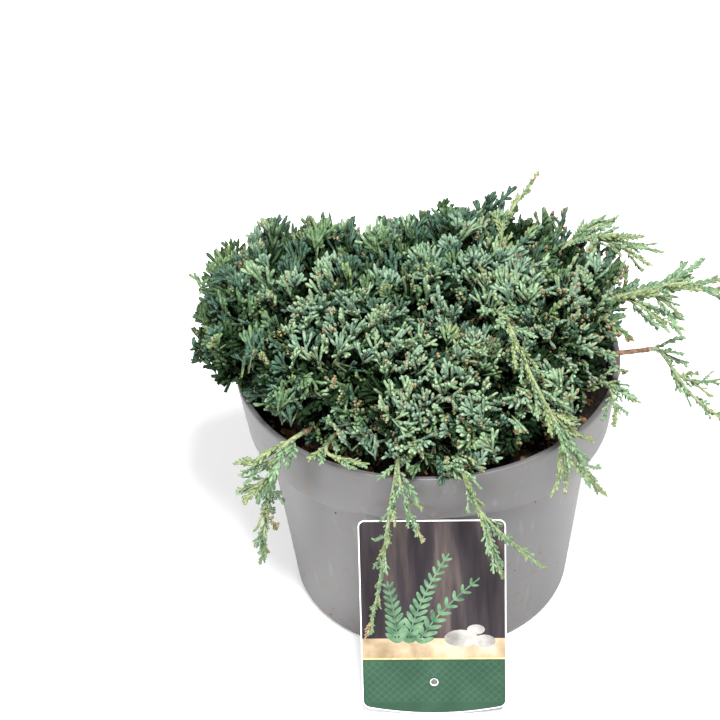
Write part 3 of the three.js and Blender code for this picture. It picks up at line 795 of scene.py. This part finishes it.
class Fan:
    """A hand of fingers along +Y, in millimetres: a thin stalk, the middle finger that tops it, and side
    fingers left and right by turns, which curl back to run beside it. The longest of them fork."""

    def __init__(self, draw, length, sides, spread, press, radius, reach=None, lean=0.9, finger=full_finger):
        self.length = length * mm
        self.finger = finger
        self.radius = radius
        self.copies = []
        self.tips = []
        sway = 0.3 * (next(draw) - 0.5)
        stalk = bent_finger(plain_finger, length * 0.8, 0.6 * radius, (0, 0, 0), 0, sway * 0.8, 0)[0]
        self.stalk = (stalk * mm, plain_finger[1])
        self.add(length * 0.58, on_stalk(0.42, sway, length), sway * 0.42, sway * 0.58, 0)
        for number in range(sides):
            hand = 1 if number % 2 else -1
            share = 0.08 + 0.78 * (number + 0.6 * next(draw)) / sides
            size = (reach or (1 - share) * length) * (0.78 + 0.34 * next(draw))
            heading = hand * (spread + 0.25 * next(draw)) + sway * share
            curl = -hand * press * (0.6 + 0.8 * next(draw))
            tilt = lean * (next(draw) - 0.5)
            root = on_stalk(share, sway, length)
            self.add(size, root, heading, curl, tilt)
            place = 0.42 + 0.2 * next(draw)
            if size > 7.5 and finger is full_finger:
                self.fork(root, size, heading, curl, tilt, place, hand)
        points, faces = joined(self.copies)
        self.fingers = (points * mm, faces)

    def add(self, size, root, heading, curl, tilt):
        """One finger of the fan, and the place and heading of its end."""
        points, tip = bent_finger(self.finger, size, self.radius, root, heading, curl, tilt)
        self.copies.append((points, self.finger[1]))
        self.tips.append((tip * mm, heading + curl))

    def fork(self, root, size, heading, curl, tilt, place, hand):
        """A shorter finger that leaves another one at a place on it, to one hand."""
        turn = heading + curl * place / 2
        step = (math.sin(turn) * size * place, math.cos(turn) * size * place, tilt * size * place)
        fork_root = tuple(base + move for base, move in zip(root, step))
        self.add(size * 0.45, fork_root, turn + hand * 0.5, -hand * 0.3, tilt + 0.3 * hand)


draw = seeded(31337)
hands = [Fan(draw, 16, 6, 0.52, 0.44, radius=1.08) for _ in range(9)]
candles = [Fan(draw, 23, 4, 0.28, 0.22, radius=1.12) for _ in range(9)]
whips = [Fan(draw, 22, 9, 0.40, 0.30, reach=4.8, lean=1.2, radius=0.95) for _ in range(8)]
slim_whips = [Fan(draw, 25, 11, 0.44, 0.40, reach=3.7, lean=1.0, radius=1.0) for _ in range(8)]
plain_fans = [Fan(draw, 20, 6, 0.5, 0.3, radius=1.5, finger=plain_finger) for _ in range(6)]
fans = {}
tip_places = []
bud_chance = 0.6


def picked(shapes, draw):
    """Any one of the shapes."""
    return shapes[int(next(draw) * len(shapes))]


def set_fan(tint, fan, root, way, facing, size, cup, ripe=0.0, draw=None):
    """A fan set at its root, growing its way with its flat side to facing, and cupped along its length."""
    across = way.cross(facing).normalized()
    flat = across.cross(way).normalized()
    turn = np.array([across[:], way[:], flat[:]])

    def placed(local):
        local = local * size
        local[..., 2] += cup * local[..., 1] ** 2 / fan.length
        return local @ turn + np.array(root[:])

    fans.setdefault(tint, []).append((placed(fan.fingers[0]), fan.fingers[1]))
    if tint not in ("shade", "deep"):
        fans.setdefault("stalk", []).append((placed(fan.stalk[0]), fan.stalk[1]))
    if ripe and next(draw) < ripe:
        for tip, heading in fan.tips:
            if next(draw) < bud_chance:
                outward = way * math.cos(heading) + across * math.sin(heading)
                tip_places.append((Vector(placed(tip)), outward))


def fan_clear(fan, root, way, facing, size):
    """Whether a fan's root, its end and both its sides are clear of the pot and the tag."""
    across = way.cross(facing).normalized()
    reach = fan.length * size
    places = [(0, 0), (1.05, 0), (0.8, 0.3), (0.8, -0.3)]
    points = [root + way * reach * along + across * reach * side for along, side in places]
    return all(clear_of_pot(point) and clear_of_tag(point) for point in points)


def jolt(draw, size):
    """A small random step, the same chance each way."""
    return Vector([(next(draw) - 0.5) * 2 * size for _ in range(3)])


def level_to(way):
    """A level direction square to a way."""
    level = way.cross(up)
    return level.normalized() if level.length > 0.05 else Vector((1, 0, 0))


def side_ways(axis, turn, angle):
    """A way that leaves an axis at an angle, turned round it, and the way out from the axis."""
    out = Quaternion(axis, turn) @ level_to(axis)
    return (axis * math.cos(angle) + out * math.sin(angle)).normalized(), out


front_side = -0.3
fresh_in_front = 0.05
fresh_elsewhere = 0.02
deep_light = 0.15
pale_light = 0.36


def tint_for(outward, tone, draw):
    """Pale fans where the light falls, deeper ones on the shaded left and back, and a few fresh ones."""
    chance = next(draw)
    light = 0.12 * outward.x + 0.22 * outward.z - 0.20 * outward.y + tone
    if chance < (fresh_in_front if outward.y < front_side else fresh_elsewhere):
        return "fresh"
    if light < deep_light:
        return "green" if chance < 0.6 else "teal"
    if light < pale_light:
        return "sage" if chance < 0.5 else "teal"
    return "mint" if chance < 0.5 else "silver"


bunch_radius = 10.5 * mm
widest_bunch = 18 * mm
fans_in_bunch = 5.9
shade_in_bunch = 6
hollow_depth = 78 * mm
deepest_hollow = 24 * mm
hollow_spacing = 24 * mm
hollow_start = 0.05
hollow_loss = 0.6
# Fans in a hollow get darker tints by its depth over this length: painted shade in the hollows
hollow_shading = 46 * mm
tone_range = 0.36
front_sunk = 13
shade_sunk = (15, 12)
# Fans sunk below the bunch's surface get darker tints by their sinking over this length: painted shade
sunk_shading = 25 * mm
# Past these shares of the way to the mound's outline there are no plain fans of painted shade, and no black
# ones
shade_limit = 0.97
deep_limit = 0.90
edge_tuck = [0.20, 0.05, 0, 0, 0, 0.02, 0.06, 0.26, 0.14, 0, 0.06, 0.19]
crown_tuft = Vector((79, 52, 223)) * mm
tuft_width = 25 * mm
tuft_rise = 13 * mm
green_twigs = []


def fan_for(outward, draw):
    """Feathery whips to the right, slender candles on the top and back, and short hands in front."""
    chance = next(draw)
    if outward.x > 0.35 and outward.y > -0.6 and chance < 0.35 + 0.6 * outward.x:
        return picked(whips if next(draw) < 0.35 else slim_whips, draw), 0.95 + 0.4 * next(draw)
    slender = 0.62 + 0.30 * outward.y - (0.45 if outward.z < 0.3 else 0)
    shapes = candles if chance < slender else hands
    return picked(shapes, draw), (0.84 + 0.32 * next(draw)) * (0.92 if outward.y < front_side else 1.0)


def in_outline(point):
    """Whether a point is inside the mound's outline, or no more than a scale's length outside it."""
    angle = math.atan2(point.y, point.x)
    tucked = around(edge_tuck, angle) * smooth(mound_base + 12 * mm - point.z, 0, 12 * mm)
    beyond = 1 * mm + 4 * mm * smooth(point.z, mound_base + 4 * mm, mound_base + 14 * mm)
    return point.xy.length < around(mound_reach, angle) * mm * (1 - tucked) + beyond


def share_out(point):
    """How far out a point is, from 0 at the mound's middle to 1 at its outline."""
    level = point.xy.length / (around(mound_reach, math.atan2(point.y, point.x)) * mm)
    height = max(0, point.z + 5 * mm - mound_base) / mound_rise
    return (level**2.5 + height**2.67) ** 0.39


def grow_bunch(spine, tip, draw):
    """Fans that stand side by side and lean one way, with their ends on an even disc round the tip and a
    thin stem from the spine to each, and plain near-black ones under them, painted shade that closes the
    gaps."""
    outward = tip["outward"]
    ripe = 0.24 + 0.80 * max(0, outward.x * 0.5 - outward.y * 0.4)
    lean = jolt(draw, 0.5)
    spin = full_turn * next(draw)
    level = level_to(outward)
    dip = max(0, noise.noise(tip["point"] / hollow_spacing) - hollow_start)
    hollow = min(deepest_hollow, hollow_depth * dip)
    # Painted shade: the deeper the hollow, the darker the tints of its fans
    tone = tone_range * next(draw) - hollow / hollow_shading
    wider = (tip["spread"] / bunch_radius) ** 2
    fan_count = round(fans_in_bunch * wider * (1 - hollow_loss * hollow / deepest_hollow))
    shade_count = round(shade_in_bunch * wider)
    for order in range(fan_count + shade_count):
        shaded = order >= fan_count
        share = (order - fan_count + 0.5) / shade_count if shaded else (order + 0.5) / fan_count
        aside = Quaternion(outward, spin + golden_angle * order) @ level * (tip["spread"] * math.sqrt(share))
        if shaded:
            sunk = (shade_sunk[0] + shade_sunk[1] * next(draw)) * mm
        else:
            sunk = (front_sunk * next(draw) ** 1.5 - 1) * mm
        end = tip["point"] + aside - outward * (hollow + sunk)
        away = (tip["point"] - crown_tuft).length / tuft_width
        end.z = max(end.z + tuft_rise * math.exp(-away * away), pot_height + 3 * mm)
        if shaded and share_out(end) > shade_limit:
            continue
        fan, size = (picked(plain_fans, draw), 1.0) if shaded else fan_for(outward, draw)
        feathery = fan in whips or fan in slim_whips
        push = outward * (0.9 if feathery else 0.55)
        high = end.z > mound_base + 8 * mm and outward.z < 0.65
        reach_out = Vector((26, 6, 1)) * mm * next(draw) ** 1.6 * outward.x if feathery and high else Vector()
        for lift in (0.28 if feathery else 0.35 + 0.45 * outward.z, 0.15, -0.1):
            way = (push + up * lift + aside * 16 + lean + jolt(draw, 0.32)).normalized()
            facing = Quaternion(way, full_turn * next(draw)) @ level_to(way)
            root = end + reach_out - way * fan.length * size
            if in_outline(end) and fan_clear(fan, root, way, facing, size):
                break
        else:
            continue
        # The plain fans under a bunch are near black: painted shade
        if shaded:
            set_fan("deep" if share_out(end) < deep_limit else "shade", fan, root, way, facing, size, 0)
            continue
        # Painted shade: the deeper a fan is sunk, the darker its tint
        tint = tint_for(outward, tone + 0.14 * next(draw) - sunk / sunk_shading, draw)
        set_fan(tint, fan, root, way, facing, size, 0.35 * (next(draw) - 0.4), ripe, draw)
        foot = spine.at(0.35 + 0.5 * next(draw))
        twig = arch(foot, (foot + root) / 2 - up * 2 * mm, root + way * mm)
        green_twigs.append((twig, taper(*stalk_radii)))


def fill_inside(route, first, last, spacing, draw):
    """Plain fans along a twig, near black as painted shade, which close the inside of the mound."""
    count = max(1, int(route.length * (last - first) / spacing))
    for index in range(count):
        share = first + (last - first) * (index + next(draw)) / count
        way, out = side_ways(route.way(share), golden_angle * index + full_turn * next(draw), 0.9)
        fan = picked(plain_fans, draw)
        way = (way + up * 0.2).normalized()
        out_there = share_out(route.at(share) + way * fan.length)
        if out_there < shade_limit and fan_clear(fan, route.at(share), way, out, 1.1):
            tint = "deep" if out_there < deep_limit else "shade"
            set_fan(tint, fan, route.at(share), way, out, 1.0, 0.3 * (next(draw) - 0.5))


twigs = []


def grow_mass(mass, number):
    """The stem, the twigs and the sprays of one mass."""
    draw = seeded(growth_seed + 101 * (number + 1))
    bough = limbs[mass["bough"]]
    way = bough.way(1)
    foot = bough.at(1) + way * seat_gap
    stem = arch(foot, foot + way * (foot - mass["heart"]).length * 0.4, mass["heart"])
    twigs.append((stem, taper(*stem_radii)))
    fill_inside(bough, 0.45, 1, coarse_filling, draw)
    fill_inside(stem, 0, 1, fine_filling, draw)
    for group in grouped(mass.get("tips", [])):
        hub = sum((tip["base"] for tip in group), Vector()) / len(group)
        root = stem.at(0.95 - 0.3 * next(draw))
        bend = (root + hub) / 2 + up * 3 * mm * (next(draw) - 0.5)
        twig = arch(root, bend, hub)
        twigs.append((twig, taper(*twig_radii)))
        fill_inside(twig, 0.1, 1, coarse_filling, draw)
        for order, tip in enumerate(group):
            fork = twig.at(1 - 0.14 * order)
            line = tip["point"] - fork
            bend = fork + line * 0.45 + tip["outward"] * 0.08 * line.length
            spine = arch(fork, bend, fork + line * 0.6)
            green_twigs.append((spine, taper(*spine_radii)))
            grow_bunch(spine, tip, draw)
            fill_inside(spine, 0, 0.7, fine_filling, draw)


deal_tips(seeded(growth_seed))
set_spreads(bunch_radius, widest_bunch)
for number, mass in enumerate(mound):
    grow_mass(mass, number)


# Trailing shoots: long whips of this year's growth that hang over the rim, with yellow-green stems and
# short fingers pressed forward on all sides, and narrow side whips that point the same way.
collar_spacing = 6.5 * mm
bare_foot = 7 * mm
bare_end = 9 * mm
tip_whip = 12 * mm
usual_spacing = 8.5
side_spacing = {"right_far": 6, "right_back": 7, "left": 4, "right_rim": 6, "front_right": 7}
longest_side = {"right_far": 1.3, "right_back": 1.1, "left": 1.15, "front_right": 1.2}
slim_shoots = ("right_far", "right_back", "front_right")
dry_tips = ("front_right", "front_left", "crown")
usual_gold = 0.25
gold_share = {"front_right": 0.5, "crown": 0.8}
knee_sprays = [
    (0, (0.8, 0.3, 0.35), 1.0),
    (1, (0.5, -0.5, 0.45), 0.6),
    (3, (0.9, -0.1, 0.05), 0.8),
    (4, (0.4, 0.5, -0.3), 0.6),
]
shoot_stems = []


def shoot_tint(name, draw):
    """Most fingers of a shoot are green, and some are yellower."""
    return "gold shoot" if next(draw) < gold_share.get(name, usual_gold) else "green shoot"


def dress_shoot(route, spacing, name, draw):
    """The pressed fingers round a shoot's stem, its side whips left and right, and the whip at its tip."""
    shapes = slim_whips if name in slim_shoots else whips
    place = bare_foot
    while place < route.length - bare_end:
        share = place / route.length
        way = (route.way(share) + jolt(draw, 0.13)).normalized()
        facing = Quaternion(way, full_turn * next(draw)) @ level_to(way)
        size = (0.74 - 0.16 * share) * (0.6 + 0.4 * smooth(share, 0, 0.3))
        if fan_clear(whips[0], route.at(share), way, facing, size):
            tint = shoot_tint(name, draw)
            set_fan(tint, picked(shapes, draw), route.at(share), way, facing, size, 0)
        place += collar_spacing
    count = int((route.length - 14 * mm) / spacing)
    for index in range(count):
        share = (8 * mm + index * spacing) / route.length
        along = route.way(share)
        hand = 1 if index % 2 else -1
        angle = 0.40 + 0.22 * next(draw)
        out = (level_to(along) * hand + jolt(draw, 0.5) + up * 0.15).normalized()
        way = (along * math.cos(angle) + out * math.sin(angle)).normalized()
        size = (longest_side.get(name, 1.0) - 0.55 * share) * (0.72 + 0.45 * next(draw))
        facing = Quaternion(way, full_turn * next(draw)) @ level_to(way)
        if fan_clear(whips[0], route.at(share), way, facing, size):
            tint = shoot_tint(name, draw)
            cup = 0.25 * (next(draw) - 0.5)
            set_fan(tint, picked(shapes, draw), route.at(share), way, facing, size, cup, 0.05, draw)
    along = route.way(1)
    root, facing = route.at(1) - along * tip_whip, level_to(along).cross(along)
    tint = "dry shoot" if name in dry_tips else "gold shoot"
    set_fan(tint, shapes[count % len(shapes)], root, along, facing, 0.66, 0.1)


def grow_shoot(name, number):
    """The stems of one long shoot, each with its fingers and side whips."""
    draw = seeded(growth_seed + 211 * (number + 1))
    bough = limbs[f"branch_{name}"]
    points, side = long_shoots[name][2:]
    start = bough.at(1) + bough.way(1) * seat_gap
    lead = start + bough.way(1) * 4 * mm
    main = through([start, lead] + [Vector(point) * mm for point in points[1:]])
    routes = [main]
    for share, tip in side:
        fork, tip = main.at(share), Vector(tip) * mm
        routes.append(arch(fork, fork + main.way(share) * (fork - tip).length * 0.4, tip))
    for order, route in enumerate(routes):
        shoot_stems.append((route, taper((1.0 if order else 1.4) * mm, 0.65 * mm)))
        dress_shoot(route, side_spacing.get(name, usual_spacing) * mm, name, draw)
    if name == "right_low":
        # Short green sprays where the bare brown stem turns down
        for place, way, size in knee_sprays:
            way = (Vector(way) + jolt(draw, 0.15)).normalized()
            root = main.at(0.01) - up * mm + main.way(0.05) * place * mm
            set_fan("green shoot", picked(whips, draw), root, way, side_ways(way, 1, 0)[1], size, 0.1)


for number, name in enumerate(long_shoots):
    grow_shoot(name, number)

leaf_colours = {
    "mint": ((0.085, 0.152, 0.074), (0.208, 0.292, 0.172)),
    "silver": ((0.065, 0.124, 0.080), (0.172, 0.252, 0.170)),
    "sage": ((0.036, 0.078, 0.029), (0.104, 0.172, 0.078)),
    "teal": ((0.015, 0.041, 0.025), (0.052, 0.108, 0.067)),
    "green": ((0.010, 0.027, 0.008), (0.034, 0.072, 0.022)),
    "fresh": ((0.080, 0.13, 0.045), (0.15, 0.22, 0.092)),
    # shade and deep: near-black fans inside the mound, painted shade between the sprays
    "shade": ((0.0035, 0.010, 0.003), (0.012, 0.027, 0.010)),
    "deep": ((0.0015, 0.004, 0.001), (0.005, 0.011, 0.004)),
    "stalk": ((0.050, 0.075, 0.030), (0.115, 0.145, 0.060)),
    "green shoot": ((0.070, 0.128, 0.062), (0.172, 0.254, 0.144)),
    "gold shoot": ((0.090, 0.130, 0.052), (0.205, 0.252, 0.118)),
    "dry shoot": ((0.19, 0.13, 0.07), (0.36, 0.27, 0.15)),
}
triangle_limit = 190000


def leaf_finish(tint):
    """Matt scale leaves with a pale bloom, and the lines between the scales as relief."""
    dark, pale = leaf_colours[tint]
    gloss = 0.05 if tint in ("shade", "deep") else 0.32
    finish = Finish(f"{tint} scale leaves", pale, 0.68, {"Specular IOR Level": gloss})
    finish.mottled(330, 3, (0.36, dark), (0.62, pale))
    return finish.bump(finish.cells(850), 0.35 * mm, 0.7)


def in_batches(copies):
    """The copies in batches that each stay under the limit of triangles for a piece."""
    batches = [[]]
    size = 0
    for copy in copies:
        if size + len(copy[1]) > triangle_limit:
            batches.append([])
            size = 0
        batches[-1].append(copy)
        size += len(copy[1])
    return batches


mound_nodes = [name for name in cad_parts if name.startswith("foliage_")]
shoot_nodes = [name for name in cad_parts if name.startswith("shoot_")]
for tint, copies in fans.items():
    finish = leaf_finish(tint)
    shoot = tint.endswith("shoot")
    for index, batch in enumerate(in_batches(copies)):
        piece = joined_piece(f"{tint.replace(' ', '_')}_sprays_{index + 1}", batch)
        fitted(piece, finish)
        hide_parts(*(shoot_nodes if shoot else mound_nodes))

twig_bark = Finish("thin brown twigs", (0.13, 0.085, 0.05), 0.9)
twig_bark.mottled(420, 4, (0.3, (0.06, 0.036, 0.022)), (0.7, (0.20, 0.125, 0.07)))
fitted(stems_piece("mound_twigs", twigs, 1, 6 * mm), twig_bark.grained(1500, 3, 0.25 * mm, 0.8))
green_bark = Finish("green spray stems", (0.12, 0.17, 0.07), 0.75)
green_bark.mottled(300, 3, (0.3, (0.05, 0.07, 0.03)), (0.7, (0.12, 0.16, 0.07)))
green_bark.bump(green_bark.cells(700), 0.3 * mm, 0.7)
fitted(stems_piece("spray_stems", green_twigs, 0, 7 * mm), green_bark)
whip_bark = Finish("yellow green shoot stems", (0.32, 0.38, 0.18), 0.68)
whip_bark.mottled(260, 3, (0.3, (0.12, 0.15, 0.065)), (0.7, (0.26, 0.28, 0.145)))
whip_bark.bump(whip_bark.cells(600, whip_bark.stretched((1, 1, 0.5))), 0.4 * mm, 0.8)
fitted(stems_piece("shoot_stems", shoot_stems, 2, 4 * mm), whip_bark)


# Bud tips: on many fans the ends of the fingers are tan to dull pink, where small cones have formed.
# Each is two small lumps side by side, drawn out along its finger.
bud_size = np.array((1.15, 1.15, 1.5)) * mm


def bud_shape():
    """Two lumps that are one across and set a little apart."""
    bm = bmesh.new()
    for x, z, radius in ((0.3, 0.3, 0.9), (-0.65, -0.6, 0.75)):
        place = Matrix.Translation((x, 0.2 * x, z))
        bmesh.ops.create_uvsphere(bm, u_segments=4, v_segments=3, radius=radius, matrix=place)
    return arrays_of(bm)


bud = bud_shape()
bud_draw = seeded(7411)
bud_copies = []
for place, way in tip_places:
    size = bud_size * (0.75 + 0.4 * next(bud_draw))
    bud_copies.append(turned_copy(bud, size, way.to_track_quat("Z", "X"), place - way * 1.5 * mm))
buds = joined_piece("tan_bud_tips", bud_copies)
tan = Finish("tan bud tips", (0.23, 0.15, 0.09), 0.8)
tan_tones = [(0.36, (0.082, 0.062, 0.030)), (0.50, (0.190, 0.132, 0.055)), (0.64, (0.22, 0.185, 0.100))]
tan.mottled(310, 3, *tan_tones)
fitted(buds, tan.grained(1400, 3, 0.2 * mm, 0.7))


# Plant tag: a thin coated card that hangs from under the collar and leans out to the floor. Its face is
# printed: a white edge, a dark picture panel with a leafy sprig and pebbles, and a deep green band.
tag_height = 127.5 * mm
tag_sag = 5 * mm
tag_thickness = 0.7 * mm
tag_corner = 4 * mm
tag_hole_radius = 2.2 * mm
tag_hole_up = 17 * mm
tag_drill = 6 * mm
white_edge = 0.7 * mm
print_low = tag_thickness + 0.02 * mm
print_high = tag_thickness + 0.08 * mm
art_high = print_high + 0.05 * mm
tag_lean = math.atan2(tag_top.y - tag_foot.y, tag_top.z - tag_foot.z)
tag_place = (
    Matrix.Translation(tag_top)
    @ Matrix.Rotation(-math.radians(3), 4, "Z")
    @ Matrix.Rotation(math.pi / 2 - tag_lean, 4, "X")
)


def foot_outline(inset):
    """The card's curved foot and its two round corners, from the left side to the right."""
    half, corner = tag_width / 2 - inset, tag_corner - inset
    points = []
    for step in range(31):
        x = -half * math.cos(math.pi * step / 30)
        share = x / (tag_width / 2)
        lift = corner - math.sqrt(corner**2 - (corner - min(corner, half - abs(x))) ** 2)
        points.append((x, inset + lift - tag_height - tag_sag * (1 - share * share)))
    return points


def head_outline(inset):
    """The card's straight top and its two round corners, from the right side to the left."""
    corner = tag_corner - inset
    side = tag_width / 2 - inset - corner
    points = []
    for centre, start in ((side, 0), (-side, 1)):
        for step in range(7):
            angle = math.pi / 2 * (start + step / 6)
            points.append((centre + corner * math.cos(angle), corner * math.sin(angle) - inset - corner))
    return points


def add_plate(bm, outline, low, high):
    """A thin closed plate between two levels over the card's back, added to a bmesh."""
    face = bm.faces.new([bm.verts.new((x, y, low)) for x, y in outline])
    raised = bmesh.ops.extrude_face_region(bm, geom=[face])["geom"]
    verts = [item for item in raised if isinstance(item, bmesh.types.BMVert)]
    bmesh.ops.translate(bm, verts=verts, vec=(0, 0, high - low))


def card_piece(bm, name, finish):
    """A piece that lies on the card, from a bmesh in the card's own frame."""
    bmesh.ops.transform(bm, matrix=tag_place, verts=bm.verts)
    return fitted(piece_from(bm, name, math.radians(40)), finish)


def plate_piece(outline, low, high, name, finish):
    """A flat piece of the card or of its print."""
    bm = bmesh.new()
    add_plate(bm, outline, low, high)
    return card_piece(bm, name, finish)


def add_line(bm, points, width, low, high):
    """A printed line of even width through points on the card."""
    left, right = [], []
    for index, (x, y) in enumerate(points):
        ahead = points[min(index + 1, len(points) - 1)]
        behind = points[max(index - 1, 0)]
        along = Vector((ahead[0] - behind[0], ahead[1] - behind[1])).normalized()
        left.append((x - along.y * width / 2, y + along.x * width / 2))
        right.append((x + along.y * width / 2, y - along.x * width / 2))
    add_plate(bm, left + right[::-1], low, high)


def add_lens(bm, x, y, turn, length, width, level):
    """A flat leaf or pebble of print, thickest in its middle."""
    place = Matrix.Translation((x, y, level)) @ Matrix.Rotation(turn, 4, "Z")
    size = Matrix.Diagonal((length / 2, width / 2, 0.06 * mm, 1))
    bmesh.ops.create_uvsphere(bm, u_segments=14, v_segments=4, radius=1, matrix=place @ size)


def printed(name, colour):
    """A matt print on the card."""
    return Finish(name, colour, 0.5, {"Specular IOR Level": 0.15})


hole_place = tag_place @ Matrix.Translation((0, tag_hole_up - tag_height, 0))
card_finish = Finish("coated white card", (0.80, 0.80, 0.78), 0.34, {"Coat Weight": 0.15})
card_finish.mottled(60, 3, (0.3, (0.76, 0.76, 0.74)), (0.7, (0.83, 0.83, 0.82)))
card_finish.grained(900, 2, 0.02 * mm, 0.3)
card = plate_piece(head_outline(0) + foot_outline(0), 0, tag_thickness, "tag_card", card_finish)
drill(card, [hole_place], tag_hole_radius, tag_drill)
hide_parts("plant_tag")

# Upper panel: dark boards, with a sandy band at its foot
side = tag_width / 2 - white_edge
band_top = -94 * mm
sand_top = band_top + 14 * mm
boards = printed("printed dark boards", (0.03, 0.026, 0.030))
streaks = boards.grain(30, 4, boards.stretched((3.5, 1, 0.25)))
board_tones = [(0.30, (0.008, 0.006, 0.009)), (0.52, (0.026, 0.020, 0.023)), (0.72, (0.085, 0.066, 0.058))]
boards.colour(boards.ramp(streaks, board_tones))
picture_outline = head_outline(white_edge) + [(-side, sand_top), (side, sand_top)]
plate_piece(picture_outline, print_low, print_high, "tag_picture", boards)
sand = printed("printed sandy ground", (0.42, 0.33, 0.22))
sand.mottled(70, 4, (0.32, (0.20, 0.15, 0.085)), (0.6, (0.40, 0.30, 0.20)), (0.8, (0.54, 0.45, 0.33)))
sand_outline = [(-side, sand_top), (-side, band_top), (side, band_top), (side, sand_top)]
plate_piece(sand_outline, print_low, print_high, "tag_ground", sand)

# Leafy sprigs rise across the boards, beside three pale pebbles: each sprig's foot, lean, height and
# pairs of leaves, and each pebble's place, length and width, in millimetres
sprig_kinds = [(-16, 0.34, 66, 13), (-22, -0.10, 46, 9), (-9, 0.75, 48, 9)]
pebble_kinds = [(17, 3, 21, 12), (31, 1, 14, 9), (26, 9, 11, 7)]
sprig_green = printed("printed leaf green", (0.10, 0.22, 0.11))
sprig_green.mottled(160, 3, (0.35, (0.030, 0.085, 0.045)), (0.65, (0.12, 0.21, 0.12)))
sprigs = bmesh.new()
for foot_x, lean, tall, pairs in sprig_kinds:
    line = []
    for step in range(pairs + 1):
        share = step / pairs
        x = (foot_x + tall * math.sin(lean * (0.6 + 0.6 * share)) * share) * mm
        line.append((x, sand_top - 3 * mm + tall * share * 0.92 * mm))
    add_line(sprigs, line, 0.9 * mm, print_high, art_high)
    for step, ((x, y), (next_x, next_y)) in enumerate(zip(line, line[1:])):
        along = math.atan2(next_y - y, next_x - x)
        leaf = (10 - 5.5 * step / pairs) * mm
        for hand in (-1, 1):
            turn = along + hand * 0.75
            x_there, y_there = x + leaf / 2 * math.cos(turn), y + leaf / 2 * math.sin(turn)
            add_lens(sprigs, x_there, y_there, turn, leaf, leaf * 0.34, art_high)
card_piece(sprigs, "tag_sprigs", sprig_green)
stone = printed("printed pale stone", (0.55, 0.53, 0.50))
stone.mottled(110, 4, (0.3, (0.15, 0.14, 0.13)), (0.7, (0.36, 0.35, 0.33)))
pebbles = bmesh.new()
for x, y, length, width in pebble_kinds:
    add_lens(pebbles, x * mm, sand_top + (y - 3) * mm, 0, length * mm, width * mm, art_high)
card_piece(pebbles, "tag_pebbles", stone)

# Lower panel: deep green with a faint lattice, under a gold line
green = printed("printed deep green", (0.012, 0.060, 0.040))
green.mottled(50, 3, (0.3, (0.015, 0.044, 0.026)), (0.7, (0.023, 0.060, 0.035)))
band_outline = [(side, band_top), (-side, band_top)] + foot_outline(white_edge)
band = plate_piece(band_outline, print_low, print_high, "tag_band", green)
drill(band, [hole_place], tag_hole_radius + 0.4 * mm, tag_drill)
lattice_green = printed("printed pale lattice", (0.03, 0.10, 0.07))
lattice_green.mottled(50, 3, (0.3, (0.026, 0.064, 0.040)), (0.7, (0.038, 0.086, 0.054)))
lattice = bmesh.new()
lattice_side, lattice_low, lattice_high = side - 1.5 * mm, -tag_height + 3 * mm, band_top - 2 * mm
lattice_step = 5 * mm
lattice_clear = tag_hole_radius + 2 * mm
for slope in (-1, 1):
    for number in range(-8, 45):
        offset = -band_top - side + number * lattice_step
        ends = sorted((slope * (lattice_low + offset), slope * (lattice_high + offset)))
        low_x, high_x = max(-lattice_side, ends[0]), min(lattice_side, ends[1])
        # A line that meets the hole stops short of it on both sides
        middle = slope * (tag_hole_up - tag_height + offset) / 2
        half_gap = math.sqrt(max(0, lattice_clear**2 / 2 - middle**2))
        spans = [(low_x, high_x)]
        if half_gap:
            spans = [(low_x, min(high_x, middle - half_gap)), (max(low_x, middle + half_gap), high_x)]
        for first_x, last_x in spans:
            if last_x - first_x > 1 * mm:
                line = [(x, slope * x - offset) for x in (first_x, last_x)]
                add_line(lattice, line, 0.5 * mm, print_high, print_high + (0.03 + 0.005 * slope) * mm)
card_piece(lattice, "tag_lattice", lattice_green)
gold_finish = Finish("printed gold line", (0.45, 0.33, 0.14), 0.32)
gold_finish.mottled(220, 2, (0.3, (0.36, 0.26, 0.11)), (0.7, (0.60, 0.46, 0.20)))
gold = bmesh.new()
add_line(gold, [(-side, band_top), (side, band_top)], 1.1 * mm, print_high, art_high)
card_piece(gold, "tag_gold_line", gold_finish)


# Studio: a pale floor that runs back out of view, a broad soft light from the right and a weak one
# from the left, and the camera where the photograph was taken from, looking down at the pot.
floor_mesh = bmesh.new()
bmesh.ops.create_grid(floor_mesh, x_segments=2, y_segments=2, size=4)
floor = piece_from(floor_mesh, "studio_floor")
floor_finish = Finish("pale studio floor", (0.94, 0.94, 0.94), 0.8)
floor.data.materials.append(floor_finish.material)


def soft_light(name, place, size, power):
    """A round softbox that is turned to the middle of the plant."""
    light = bpy.data.lights.new(name, "AREA")
    light.shape = "DISK"
    light.size = size
    light.energy = power
    lamp = into_scene(name, light)
    lamp.location = place
    lamp.rotation_euler = (lit_point - Vector(place)).to_track_quat("-Z", "Y").to_euler()


lit_point = Vector((0, 0, 0.12))
soft_light("right_softbox", (0.25, -0.80, 1.75), 0.6, 80)
soft_light("left_softbox", (-1.1, -1.0, 1.1), 0.7, 25)
world = bpy.data.worlds.new("pale_room")
bpy.context.scene.world = world
world.use_nodes = True
world.node_tree.nodes["Background"].inputs["Color"].default_value = (1, 1, 1, 1)
world.node_tree.nodes["Background"].inputs["Strength"].default_value = 0.55

bpy.context.scene.view_settings.view_transform = "Standard"

frame_pixels = 720
focal_pixels = 2662.4
camera_place = Vector((-0.04202, -1.31887, 1.18012))
pitch = math.radians(37.480)
roll = math.radians(-2.376)
view = bpy.data.cameras.new("photo_view")
view.sensor_width = 36
view.lens = view.sensor_width * focal_pixels / frame_pixels
camera = into_scene("photo_view", view)
level_turn = Matrix.Rotation(math.pi / 2 - pitch, 4, "X")
camera.matrix_world = Matrix.Translation(camera_place) @ level_turn @ Matrix.Rotation(roll, 4, "Z")
bpy.context.scene.camera = camera
